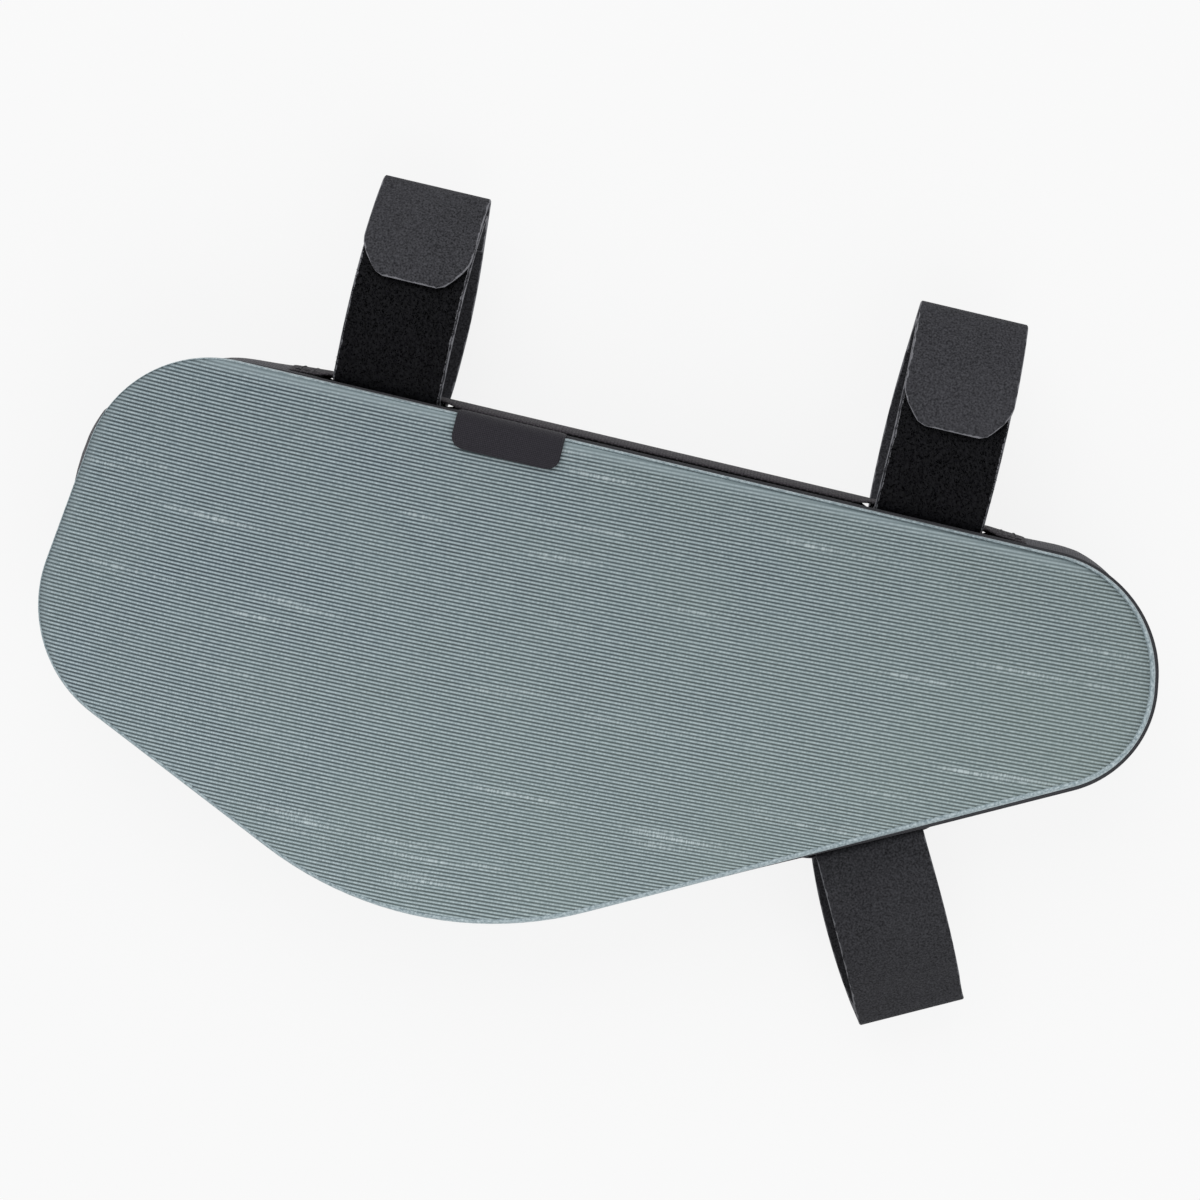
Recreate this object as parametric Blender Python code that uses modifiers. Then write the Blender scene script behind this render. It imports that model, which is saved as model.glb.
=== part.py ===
"""A small bicycle frame bag, lying on its back panel.

The bag is a flat case with a rounded five-cornered outline. A front and a back panel, both
shells with a rolled rim, stand on a bulging gusset. Webbing is sewn along the gusset and
carries three hook-and-loop straps, each closed into the loop that goes round a frame tube.

X runs along the long top edge, Y up in the plane of the bag, Z out of the front panel.
The origin is in the flat face that the bag rests on. Lengths are in metres.
"""

import math
from collections import namedtuple

import bmesh
import bpy
from mathutils import Vector

# The case
BAG_LENGTH = 0.300
BAG_HEIGHT = 0.136
PANEL_DEPTH = 0.009
RIM_WIDTH = 0.008
PANEL_WALL = 0.0022
GUSSET_WIDTH = 0.027
GUSSET_WALL = 0.0015
GUSSET_BULGE = 0.0030
# Below 1 the gusset swells early at its seams, at 1 it is a plain arch
GUSSET_FULLNESS = 0.8
SEAM_TUCK = 0.0008
CLEARANCE = 0.0003

# Webbing, straps and their hook-and-loop patches
WEBBING_WIDTH = 0.020
WEBBING_WALL = 0.0012
WEBBING_TAIL = 0.0125
WEBBING_RAMP = 0.0045
STRAP_WIDTH = 0.030
STRAP_WALL = 0.0012
PILE_WALL = 0.0008
HOOK_WALL = 0.0007
PATCH_MARGIN = 0.0005
FOOT_TURN = 0.0024
UPPER_LOOP_HEIGHT = 0.0585
UPPER_LOOP_DEPTH = 0.039
LOWER_LOOP_HEIGHT = 0.0525
LOWER_LOOP_DEPTH = 0.036
LOWER_LOOP_DROP = 0.0045
LEFT_TAB = 0.0282
RIGHT_TAB = 0.0338
LOWER_TAB = 0.028
FOLD_ALLOWANCE = 0.0035
HOOK_START = 0.0070
TAB_END_LENGTH = 0.008
TAB_END_CUT = 0.006

# Label and zip
LABEL_WIDTH = 0.0292
LABEL_DROP = 0.0086
LABEL_WALL = 0.0008
LABEL_CORNER = 0.0036
ZIP_WALL = 0.0008

# How finely round shapes are divided
ARC_STEP = math.radians(11.5)
STRAIGHT_STEP = 0.022
FOLD_STEP = math.radians(15)
STRAP_STEP = 0.009
LAYER_STEP = 0.0036
LEAST_STEP = 0.0012
SPLINE_STEPS = 12
END_GAP = 0.00036

SEAM_LOW = PANEL_DEPTH
SEAM_HIGH = SEAM_LOW + GUSSET_WIDTH
MIDDLE = (SEAM_LOW + SEAM_HIGH) / 2
THICKNESS = SEAM_HIGH + PANEL_DEPTH

# The sharp corners of the outline, before they are rounded: along is a share of the bag's
# length, up and fillet are shares of its height. They go counterclockwise from the top left.
Corner = namedtuple("Corner", "along up fillet")
CORNERS = (
    Corner(along=-0.473, up=0.486, fillet=0.255),
    Corner(along=-0.513, up=-0.185, fillet=0.267),
    Corner(along=-0.098, up=-0.595, fillet=0.74),
    Corner(along=0.508, up=0.119, fillet=0.212),
    Corner(along=0.479, up=0.486, fillet=0.243),
)
TOP_LEFT, LOWER_LEFT, BOTTOM, LOWER_RIGHT, TOP_RIGHT = range(5)
# The share of an edge that the fillets at its two ends may take up
FILLET_ROOM = 0.97

# A panel's rolled rim from its seam inwards: inset is a share of the rim's width, rise a share
# of the panel's depth.
RimRow = namedtuple("RimRow", "inset rise")
RIM_ROWS = (
    RimRow(inset=0.11, rise=0.0),
    RimRow(inset=0.0, rise=0.24),
    RimRow(inset=0.0, rise=0.44),
    RimRow(inset=0.06, rise=0.61),
    RimRow(inset=0.19, rise=0.73),
    RimRow(inset=0.38, rise=0.79),
    RimRow(inset=1.0, rise=0.83),
)

# The panel inside its rim: the rim's inner ring drawn together about the middle.
CrownRow = namedtuple("CrownRow", "scale rise")
FRONT_CROWN = (
    CrownRow(scale=0.8, rise=0.89),
    CrownRow(scale=0.6, rise=0.945),
    CrownRow(scale=0.4, rise=0.98),
    CrownRow(scale=0.2, rise=0.995),
)
BACK_CROWN = (
    CrownRow(scale=0.9, rise=0.94),
    CrownRow(scale=0.78, rise=1.0),
    CrownRow(scale=0.4, rise=1.0),
)
CROWN_MIDDLE = Vector((-0.03 * BAG_LENGTH, 0.05 * BAG_HEIGHT))

# Soft dents in the front panel: along and half_length are shares of the bag's length, up and
# half_height of its height, depth of the panel's depth.
Dent = namedtuple("Dent", "along up half_length half_height depth")
DENTS = (
    Dent(along=-0.27, up=-0.19, half_length=0.07, half_height=0.11, depth=0.10),
    Dent(along=-0.09, up=-0.38, half_length=0.11, half_height=0.10, depth=0.12),
    Dent(along=0.16, up=-0.08, half_length=0.12, half_height=0.12, depth=0.06),
)

# A strap's loop, seen along the webbing: out is a share of its height above the edge, over is
# a share of its depth from the leg without a closure to the leg with one.
LoopRow = namedtuple("LoopRow", "out over")
CLOSED_LEG = (
    LoopRow(out=0.925, over=0.56),
    LoopRow(out=0.900, over=0.625),
    LoopRow(out=0.800, over=0.745),
    LoopRow(out=0.650, over=0.860),
    LoopRow(out=0.450, over=0.930),
    LoopRow(out=0.250, over=0.935),
    LoopRow(out=0.120, over=0.900),
)
OPEN_LEG = (
    LoopRow(out=0.120, over=0.120),
    LoopRow(out=0.250, over=0.040),
    LoopRow(out=0.420, over=0.0),
    LoopRow(out=0.580, over=0.060),
    LoopRow(out=0.720, over=0.190),
    LoopRow(out=0.850, over=0.360),
    LoopRow(out=0.960, over=0.500),
    LoopRow(out=1.000, over=0.570),
    LoopRow(out=0.985, over=0.635),
)
# The stretch of the open leg that the strap's inner end lies against, as shares of its length
INNER_END = (0.70, 0.86)

# Where each strap sits: between two corners of the outline, at a share of the way.
Strap = namedtuple("Strap", "name start end share height depth behind tab side")
STRAPS = (
    Strap(
        name="left", start=TOP_LEFT, end=TOP_RIGHT, share=0.247,
        height=UPPER_LOOP_HEIGHT, depth=UPPER_LOOP_DEPTH,
        behind=MIDDLE - CLEARANCE - STRAP_WALL / 2, tab=LEFT_TAB, side=1,
    ),
    Strap(
        name="right", start=TOP_LEFT, end=TOP_RIGHT, share=0.776,
        height=UPPER_LOOP_HEIGHT, depth=UPPER_LOOP_DEPTH,
        behind=MIDDLE - CLEARANCE - STRAP_WALL / 2, tab=RIGHT_TAB, side=1,
    ),
    Strap(
        name="lower", start=BOTTOM, end=LOWER_RIGHT, share=0.624,
        height=LOWER_LOOP_HEIGHT, depth=LOWER_LOOP_DEPTH,
        behind=THICKNESS - LOWER_LOOP_DROP - STRAP_WALL / 2 - MIDDLE, tab=LOWER_TAB, side=-1,
    ),
)

LABEL_SHARE = 0.374
ZIP_SHARES = (0.15, 0.86)
ZIP_ROWS = (5, 6)

# The narrowing ends of a tab and of the label: back is a share of the end's length, cut a
# share of what each side loses.
EndRow = namedtuple("EndRow", "back cut")
CHAMFERED_END = (EndRow(back=0.0, cut=1.0), EndRow(back=0.18, cut=0.72), EndRow(back=1.0, cut=0.0))
ROUND_END = (
    EndRow(back=0.0, cut=1.0),
    EndRow(back=0.12, cut=0.525),
    EndRow(back=0.45, cut=0.165),
    EndRow(back=1.0, cut=0.0),
)

Station = namedtuple("Station", "point normal")
Place = namedtuple("Place", "origin along out")


def outward(direction):
    """The outward normal of an edge that runs counterclockwise."""
    return Vector((direction.y, -direction.x))


def sharp_corners():
    return [Vector((corner.along * BAG_LENGTH, corner.up * BAG_HEIGHT)) for corner in CORNERS]


def corner_turn(before, corner, after):
    """How far the outline turns at a corner."""
    return (corner - before).angle(after - corner)


def fillet_radii(corners):
    """The corners' radii, made smaller where two fillets would not fit on one edge."""
    count = len(corners)
    radii = [corner.fillet * BAG_HEIGHT for corner in CORNERS]
    halves = [
        math.tan(corner_turn(corners[i - 1], corners[i], corners[(i + 1) % count]) / 2)
        for i in range(count)
    ]
    shrink = [1.0] * count
    for i in range(count):
        j = (i + 1) % count
        needed = radii[i] * halves[i] + radii[j] * halves[j]
        room = FILLET_ROOM * (corners[j] - corners[i]).length / needed
        shrink[i] = min(shrink[i], room)
        shrink[j] = min(shrink[j], room)
    return [radius * share for radius, share in zip(radii, shrink)]


def corner_arc(before, corner, after, radius):
    """The stations of one rounded corner, from the end of one straight to the start of the next."""
    into = (corner - before).normalized()
    turn = corner_turn(before, corner, after)
    tangent = radius * math.tan(turn / 2)
    centre = corner - into * tangent - outward(into) * radius
    first = math.atan2(outward(into).y, outward(into).x)
    steps = max(3, round(turn / ARC_STEP))
    normals = [
        Vector((math.cos(first + turn * i / steps), math.sin(first + turn * i / steps)))
        for i in range(steps + 1)
    ]
    return [Station(centre + normal * radius, normal) for normal in normals]


def outline():
    """The whole outline as stations: points of the widest ring, each with its outward normal."""
    corners = sharp_corners()
    count = len(corners)
    radii = fillet_radii(corners)
    arcs = [
        corner_arc(corners[i - 1], corners[i], corners[(i + 1) % count], radii[i])
        for i in range(count)
    ]
    stations = []
    for i, arc in enumerate(arcs):
        stations += arc
        start, end = arc[-1], arcs[(i + 1) % count][0]
        pieces = max(1, round((end.point - start.point).length / STRAIGHT_STEP))
        for k in range(1, pieces):
            stations.append(Station(start.point.lerp(end.point, k / pieces), start.normal))
    return stations


def place_on_edge(start, end, share):
    """A place on a straight edge, with the direction along it, left to right, and out of it."""
    corners = sharp_corners()
    along = (corners[end] - corners[start]).normalized()
    origin = corners[start].lerp(corners[end], share)
    out = outward(along) if start == BOTTOM else -outward(along)
    return Place(origin, along, out)


def world(place, along, out, z):
    point = place.origin + place.along * along + place.out * out
    return (point.x, point.y, z)


def gusset_rows():
    """Heights of the gusset's rows above its middle. The inner ones are the webbing's too."""
    half = WEBBING_WIDTH / 2
    return [-GUSSET_WIDTH / 2, -half, -half / 2, 0.0, half / 2, half, GUSSET_WIDTH / 2]


def bulge(from_middle):
    """How far the gusset stands out of the panels' widest ring."""
    share = from_middle / GUSSET_WIDTH + 0.5
    return GUSSET_BULGE * max(0.0, math.sin(math.pi * share)) ** GUSSET_FULLNESS - SEAM_TUCK


def dent_depth(x, y):
    total = 0.0
    for dent in DENTS:
        across = (x - dent.along * BAG_LENGTH) / (dent.half_length * BAG_LENGTH)
        upward = (y - dent.up * BAG_HEIGHT) / (dent.half_height * BAG_HEIGHT)
        total += dent.depth * PANEL_DEPTH * math.exp(-(across ** 2) - upward ** 2)
    return total


def smooth(points):
    """A fine path through the points (centripetal Catmull-Rom)."""
    ends = [2 * points[0] - points[1], 2 * points[-1] - points[-2]]
    posts = [ends[0], *points, ends[1]]
    path = []
    for p0, p1, p2, p3 in zip(posts, posts[1:], posts[2:], posts[3:]):
        t0 = 0.0
        t1 = t0 + math.sqrt((p1 - p0).length)
        t2 = t1 + math.sqrt((p2 - p1).length)
        t3 = t2 + math.sqrt((p3 - p2).length)
        for k in range(SPLINE_STEPS):
            t = t1 + (t2 - t1) * k / SPLINE_STEPS
            a1 = p0.lerp(p1, (t - t0) / (t1 - t0))
            a2 = p1.lerp(p2, (t - t1) / (t2 - t1))
            a3 = p2.lerp(p3, (t - t2) / (t3 - t2))
            b1 = a1.lerp(a2, (t - t0) / (t2 - t0))
            b2 = a2.lerp(a3, (t - t1) / (t3 - t1))
            path.append(b1.lerp(b2, (t - t1) / (t2 - t1)))
    path.append(points[-1].copy())
    return path


def arc_lengths(path):
    arcs = [0.0]
    for start, end in zip(path, path[1:]):
        arcs.append(arcs[-1] + (end - start).length)
    return arcs


def point_at(path, arcs, arc):
    for i in range(1, len(path)):
        if arc <= arcs[i] or i == len(path) - 1:
            share = (arc - arcs[i - 1]) / (arcs[i] - arcs[i - 1])
            return path[i - 1].lerp(path[i], share)


def shifted(path, distance):
    """The path moved sideways, to the left of its direction."""
    moved = []
    for i, point in enumerate(path):
        direction = (path[min(i + 1, len(path) - 1)] - path[max(i - 1, 0)]).normalized()
        moved.append(point + Vector((-direction.y, direction.x)) * distance)
    return moved


def stretch(path, start, end):
    """The part of a path between two arc lengths."""
    arcs = arc_lengths(path)
    inner = [point for point, arc in zip(path, arcs) if start < arc < end]
    return [point_at(path, arcs, start), *inner, point_at(path, arcs, end)]


def thinned(path):
    """Drops points where a path is nearly straight, so that folds keep most of them."""
    kept = [path[0]]
    turned = 0.0
    gone = 0.0
    for before, point, after in zip(path, path[1:], path[2:]):
        gone += (point - before).length
        turned += (point - before).angle(after - point)
        if turned >= FOLD_STEP or gone >= STRAP_STEP:
            kept.append(point)
            turned = 0.0
            gone = 0.0
    return [*kept, path[-1]]


def with_end_rows(path, length, rows):
    """Puts a row of the path at each of an end's own places, and none between them."""
    arcs = arc_lengths(path)
    body = [point for point, arc in zip(path, arcs) if arc < arcs[-1] - length - END_GAP]
    tail = [point_at(path, arcs, arcs[-1] - row.back * length) for row in reversed(rows)]
    return body + tail


def end_widths(count, half, cut, rows):
    """Half-widths along a strip whose last rows narrow."""
    return [half] * (count - len(rows)) + [half - cut * row.cut for row in reversed(rows)]


def new_object(name, mesh, material):
    piece = bpy.data.objects.new(name, mesh)
    piece.data.materials.append(material)
    bag_collection.objects.link(piece)
    for polygon in mesh.polygons:
        polygon.use_smooth = True
    return piece


def add_wall(piece, wall, offset):
    solidify = piece.modifiers.new("wall", "SOLIDIFY")
    solidify.thickness = wall
    solidify.offset = offset
    solidify.use_even_offset = True


def rings_object(name, rings, pole, flip, wall, material):
    """A shell through closed rings, with its wall inwards and an optional point at the end."""
    shape = bmesh.new()
    loops = [[shape.verts.new(point) for point in ring] for ring in rings]
    count = len(rings[0])
    for low, high in zip(loops, loops[1:]):
        for i in range(count):
            j = (i + 1) % count
            shape.faces.new((low[i], low[j], high[j], high[i]))
    if pole:
        tip = shape.verts.new(pole)
        for i in range(count):
            shape.faces.new((loops[-1][i], loops[-1][(i + 1) % count], tip))
    if flip:
        bmesh.ops.reverse_faces(shape, faces=shape.faces)
    mesh = bpy.data.meshes.new(name)
    shape.to_mesh(mesh)
    shape.free()
    add_wall(new_object(name, mesh, material), wall, -1)


def grid_object(name, rows, wall, material):
    """A strip of cloth: rows of points across it, with half its wall on either side."""
    shape = bmesh.new()
    lines = [[shape.verts.new(point) for point in row] for row in rows]
    for low, high in zip(lines, lines[1:]):
        for i in range(len(low) - 1):
            shape.faces.new((low[i], low[i + 1], high[i + 1], high[i]))
    mesh = bpy.data.meshes.new(name)
    shape.to_mesh(mesh)
    shape.free()
    add_wall(new_object(name, mesh, material), wall, 0)


def strip_object(name, place, path, halves, wall, material):
    """A strip along a path of (out, z) points, as wide on each side as halves says."""
    rows = [
        (world(place, -half, point.x, point.y), world(place, half, point.x, point.y))
        for point, half in zip(path, halves)
    ]
    grid_object(name, rows, wall, material)


def material(name, colour, roughness):
    made = bpy.data.materials.new(name)
    made.use_nodes = True
    shader = made.node_tree.nodes["Principled BSDF"]
    shader.inputs["Base Color"].default_value = (*colour, 1.0)
    shader.inputs["Roughness"].default_value = roughness
    shader.inputs["Metallic"].default_value = 0.0
    return made


def make_panel(name, side, crown, dented, cloth):
    """One panel: the front one for side 1, the back one for side -1."""
    stations = outline()
    seam = (SEAM_HIGH if side > 0 else SEAM_LOW) + side * CLEARANCE
    depth = PANEL_DEPTH - CLEARANCE
    rings = []
    for row in RIM_ROWS:
        ring = [s.point - s.normal * row.inset * RIM_WIDTH for s in stations]
        rings.append([(p.x, p.y, seam + side * row.rise * depth) for p in ring])
    inner = [s.point - s.normal * RIM_WIDTH for s in stations]
    for row in crown:
        ring = [CROWN_MIDDLE.lerp(point, row.scale) for point in inner]
        rings.append([
            (p.x, p.y, panel_height(p, row.rise, side, dented)) for p in ring
        ])
    pole = (CROWN_MIDDLE.x, CROWN_MIDDLE.y, panel_height(CROWN_MIDDLE, 1.0, side, dented))
    rings_object(name, rings, pole, side < 0, PANEL_WALL, cloth)


def panel_height(point, rise, side, dented):
    """The height of a panel's face, where rise is 1 at its outermost."""
    outer = THICKNESS if side > 0 else 0.0
    depth = PANEL_DEPTH - CLEARANCE
    sunk = dent_depth(point.x, point.y) if dented else 0.0
    return outer - side * ((1 - rise) * depth + sunk)


def make_gusset(cloth):
    rings = [
        [
            (point.x, point.y, MIDDLE + row)
            for point in (s.point + s.normal * bulge(row) for s in outline())
        ]
        for row in gusset_rows()
    ]
    rings_object("gusset", rings, None, False, GUSSET_WALL, cloth)


def webbing_lift(along, strap_places):
    """How far the webbing rises over a strap that passes under it."""
    full = STRAP_WALL + CLEARANCE
    lift = 0.0
    for middle in strap_places:
        beyond = abs(along - middle) - STRAP_WIDTH / 2 - CLEARANCE
        lift = max(lift, full * max(0.0, min(1.0, 1 - beyond / WEBBING_RAMP)))
    return lift


def make_webbing(name, straps, cloth):
    """One run of webbing over its straps, which all sit on the same edge."""
    first = straps[0]
    place = place_on_edge(first.start, first.end, first.share)
    origins = [place_on_edge(s.start, s.end, s.share).origin for s in straps]
    middles = [(origin - place.origin).dot(place.along) for origin in origins]
    half = STRAP_WIDTH / 2 + CLEARANCE
    stops = [middles[0] - STRAP_WIDTH / 2 - WEBBING_TAIL]
    for middle in middles:
        stops += [middle - half - WEBBING_RAMP, middle - half, middle]
        stops += [middle + half, middle + half + WEBBING_RAMP]
    stops.append(middles[-1] + STRAP_WIDTH / 2 + WEBBING_TAIL)
    rows = []
    for stop in stops:
        rise = CLEARANCE + WEBBING_WALL / 2 + webbing_lift(stop, middles)
        rows.append([
            world(place, stop, bulge(row) + rise, MIDDLE + row) for row in gusset_rows()[1:-1]
        ])
    grid_object(name, rows, WEBBING_WALL, cloth)


def leg(rows, strap):
    """A leg of a strap's loop as (out, height above the middle) points."""
    return [
        Vector((row.out * strap.height, row.over * strap.depth - strap.behind)) for row in rows
    ]


def foot():
    """The strap's stretch on the gusset, from where its closed leg turns in under the webbing."""
    rise = CLEARANCE + STRAP_WALL / 2
    flat = [Vector((bulge(row) + rise, row)) for row in gusset_rows()[-2:0:-1]]
    edge = flat[0]
    turns = [Vector((edge.x + FOOT_TURN / 2, sign * (edge.y + FOOT_TURN))) for sign in (1, -1)]
    return [turns[0], *flat, turns[1]]


def flipped(path, strap):
    """Puts a path at its height in the bag, with the closure in front or behind."""
    return [Vector((point.x, MIDDLE + strap.side * point.y)) for point in path]


def places(start, end, rows):
    """Where a layer of the closure has its rows: at shared steps, and at those of its end."""
    steps = [LAYER_STEP * i for i in range(round(end / LAYER_STEP) + 1)]
    last = [end - row.back * TAB_END_LENGTH for row in reversed(rows)] if rows else [end]
    low, high = start + LEAST_STEP, last[0] - LEAST_STEP
    return [start, *(step for step in steps if low < step < high), *last]


def layer(leg_path, distance, arcs):
    """A layer that lies outside a leg, at arc lengths measured along the leg itself."""
    lengths = arc_lengths(leg_path)
    moved = shifted(leg_path, -distance)
    return [point_at(moved, lengths, arc) for arc in arcs]


def strap_paths(strap):
    """The strap's path from its inner end to the tab's end, and the leg that the closure is on."""
    closed = leg(CLOSED_LEG, strap)
    open_leg = leg(OPEN_LEG, strap)
    beside = shifted(smooth(open_leg), STRAP_WALL + CLEARANCE)
    length = arc_lengths(beside)[-1]
    inner_end = stretch(beside, *(share * length for share in INNER_END))
    start = [inner_end[0], inner_end[-1]]
    knots = [*start, *closed, *foot()]
    first, last = len(start) * SPLINE_STEPS, (len(start) + len(closed)) * SPLINE_STEPS
    leg_path = smooth(knots)[first : last + 1]
    stack = STRAP_WALL + PILE_WALL + HOOK_WALL + 3 * CLEARANCE
    tab = layer(leg_path, stack, places(FOLD_ALLOWANCE, strap.tab, CHAMFERED_END))
    path = smooth([*knots, *open_leg, *tab[:2]])
    around = path[last + 1 : (len(knots) + len(open_leg)) * SPLINE_STEPS]
    leg_rows = layer(leg_path, 0.0, places(0.0, arc_lengths(leg_path)[-1], ()))
    return [*thinned(path[:first])[:-1], *leg_rows, *thinned(around)[:-1], *tab], leg_path


def make_strap(strap, cloth, pile, hook):
    """One strap, with the pile patch on its closed leg and the hook patch inside its tab."""
    place = place_on_edge(strap.start, strap.end, strap.share)
    path, leg_path = strap_paths(strap)
    halves = end_widths(len(path), STRAP_WIDTH / 2, TAB_END_CUT, CHAMFERED_END)
    strip_object(f"strap_{strap.name}", place, flipped(path, strap), halves, STRAP_WALL, cloth)

    patch_half = STRAP_WIDTH / 2 - PATCH_MARGIN
    rise = STRAP_WALL / 2 + CLEARANCE + PILE_WALL / 2
    path = layer(leg_path, rise, places(FOLD_ALLOWANCE, arc_lengths(leg_path)[-1] - PATCH_MARGIN, ()))
    halves = [patch_half] * len(path)
    strip_object(f"pile_{strap.name}", place, flipped(path, strap), halves, PILE_WALL, pile)

    rise += (PILE_WALL + HOOK_WALL) / 2 + CLEARANCE
    arcs = places(HOOK_START, strap.tab - PATCH_MARGIN, CHAMFERED_END)
    path = layer(leg_path, rise, arcs)
    halves = end_widths(len(path), patch_half, TAB_END_CUT, CHAMFERED_END)
    strip_object(f"hook_{strap.name}", place, flipped(path, strap), halves, HOOK_WALL, hook)


def front_section():
    """The front panel's section at the top edge, from the seam inwards, as (out, z) points."""
    low = SEAM_HIGH + CLEARANCE
    depth = PANEL_DEPTH - CLEARANCE
    return [Vector((-row.inset * RIM_WIDTH, low + row.rise * depth)) for row in RIM_ROWS]


def make_label(cloth):
    """The label: sewn in at the seam, folded over the rim and down on the front panel."""
    place = place_on_edge(TOP_LEFT, TOP_RIGHT, LABEL_SHARE)
    section = front_section()
    crown = FRONT_CROWN[0]
    rim = place.origin.y - RIM_WIDTH
    inner_y = CROWN_MIDDLE.y + (rim - CROWN_MIDDLE.y) * crown.scale
    inner_z = THICKNESS - (1 - crown.rise) * (PANEL_DEPTH - CLEARANCE)
    inner = Vector((inner_y - place.origin.y, inner_z))
    share = (LABEL_DROP - RIM_WIDTH) / (-inner.x - RIM_WIDTH)
    section.append(section[-1].lerp(inner, share))
    path = shifted(section, -CLEARANCE - LABEL_WALL / 2)
    path = with_end_rows(path, LABEL_CORNER, ROUND_END)
    halves = end_widths(len(path), LABEL_WIDTH / 2, LABEL_CORNER, ROUND_END)
    strip_object("label", place, path, halves, LABEL_WALL, cloth)


def make_zip(cloth):
    """The zip: one plain strip on the back panel, beside its top rim."""
    low = SEAM_LOW - CLEARANCE
    depth = PANEL_DEPTH - CLEARANCE
    section = [
        Vector((-RIM_ROWS[i].inset * RIM_WIDTH, low - RIM_ROWS[i].rise * depth)) for i in ZIP_ROWS
    ]
    path = shifted(section, CLEARANCE + ZIP_WALL / 2)
    corners = sharp_corners()
    middle = place_on_edge(TOP_LEFT, TOP_RIGHT, sum(ZIP_SHARES) / 2)
    half = (corners[TOP_RIGHT].x - corners[TOP_LEFT].x) * (ZIP_SHARES[1] - ZIP_SHARES[0]) / 2
    strip_object("zip", middle, path, [half] * len(path), ZIP_WALL, cloth)


for leftover in list(bpy.data.objects):
    bpy.data.objects.remove(leftover)
bag_collection = bpy.data.collections.new("bicycle_frame_bag")
bpy.context.scene.collection.children.link(bag_collection)

ribbed_cloth = material("ribbed_cloth", (0.19, 0.24, 0.27), 0.7)
charcoal_cloth = material("charcoal_cloth", (0.08, 0.08, 0.09), 0.75)
strap_rubber = material("strap_rubber", (0.045, 0.047, 0.05), 0.65)
webbing_tape = material("webbing_tape", (0.03, 0.03, 0.032), 0.8)
pile_fabric = material("pile_fabric", (0.012, 0.012, 0.013), 0.95)
hook_tape = material("hook_tape", (0.02, 0.02, 0.022), 0.8)
label_cloth = material("label_cloth", (0.015, 0.015, 0.017), 0.7)
zip_tape = material("zip_tape", (0.02, 0.02, 0.022), 0.6)

make_panel("front_panel", 1, FRONT_CROWN, True, ribbed_cloth)
make_panel("back_panel", -1, BACK_CROWN, False, charcoal_cloth)
make_gusset(charcoal_cloth)
make_webbing("webbing_top", [s for s in STRAPS if s.start == TOP_LEFT], webbing_tape)
make_webbing("webbing_lower", [s for s in STRAPS if s.start == BOTTOM], webbing_tape)
for one in STRAPS:
    make_strap(one, strap_rubber, pile_fabric, hook_tape)
make_label(label_cloth)
make_zip(zip_tape)
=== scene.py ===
# %% [markdown]
# # A bicycle frame bag, dressed for its picture
# The bag lies on its back panel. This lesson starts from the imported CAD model, which fixes every
# size, and builds the cloth, webbing, straps and zip over it, one step at a time.

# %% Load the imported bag
import math

import bpy
import numpy as np
from mathutils import Matrix, Vector, noise


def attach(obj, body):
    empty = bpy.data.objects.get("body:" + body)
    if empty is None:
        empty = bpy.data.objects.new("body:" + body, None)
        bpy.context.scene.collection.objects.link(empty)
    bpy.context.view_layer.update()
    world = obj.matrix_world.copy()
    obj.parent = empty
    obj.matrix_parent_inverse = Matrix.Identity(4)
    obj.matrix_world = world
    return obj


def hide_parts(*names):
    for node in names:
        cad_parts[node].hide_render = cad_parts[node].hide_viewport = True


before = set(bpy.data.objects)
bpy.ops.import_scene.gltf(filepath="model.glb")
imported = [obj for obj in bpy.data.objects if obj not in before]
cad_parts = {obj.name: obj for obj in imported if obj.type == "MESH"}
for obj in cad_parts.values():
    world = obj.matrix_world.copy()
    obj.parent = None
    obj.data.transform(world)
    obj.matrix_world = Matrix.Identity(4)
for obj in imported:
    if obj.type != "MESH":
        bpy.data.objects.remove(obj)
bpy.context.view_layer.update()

print("the bag's solids:", len(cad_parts))

# %% [markdown]
# ## The camera
# The photographer stood over the bag and held the camera a little turned, so that the long top
# edge falls towards the right. The camera is made first, because everything is judged through it.
# It could be aimed with a Track To constraint, but three directions in a matrix say the same
# without a target object.

# %% Hang the camera over the bag
CAMERA_PLACE = Vector((0.014534, 0.062775, 0.743850))
LOOK_DIRECTION = Vector((-0.0229, -0.0525, -0.9984))
PICTURE_UP = Vector((-0.2313, 0.9718, -0.0458))
LENS = 78.33

camera_data = bpy.data.cameras.new("camera")
camera_data.lens = LENS
camera_data.sensor_width = 36.0
camera_data.clip_start = 0.05
camera_data.clip_end = 20.0
camera = bpy.data.objects.new("camera", camera_data)
bpy.context.scene.collection.objects.link(camera)
camera_back = -LOOK_DIRECTION.normalized()
camera_right = PICTURE_UP.cross(camera_back).normalized()
camera_up = camera_back.cross(camera_right)
turn = Matrix((camera_right, camera_up, camera_back)).transposed().to_4x4()
camera.matrix_world = Matrix.Translation(CAMERA_PLACE) @ turn
bpy.context.scene.camera = camera
print("camera height:", round(camera.location.z, 3))

# %% [markdown]
# ## The case's own measures
# The case is a flat, five-cornered outline with round corners. Two panels stand on a gusset, and
# each panel turns down over its edge in a rolled rim. These numbers repeat the CAD's, in metres.

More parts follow.
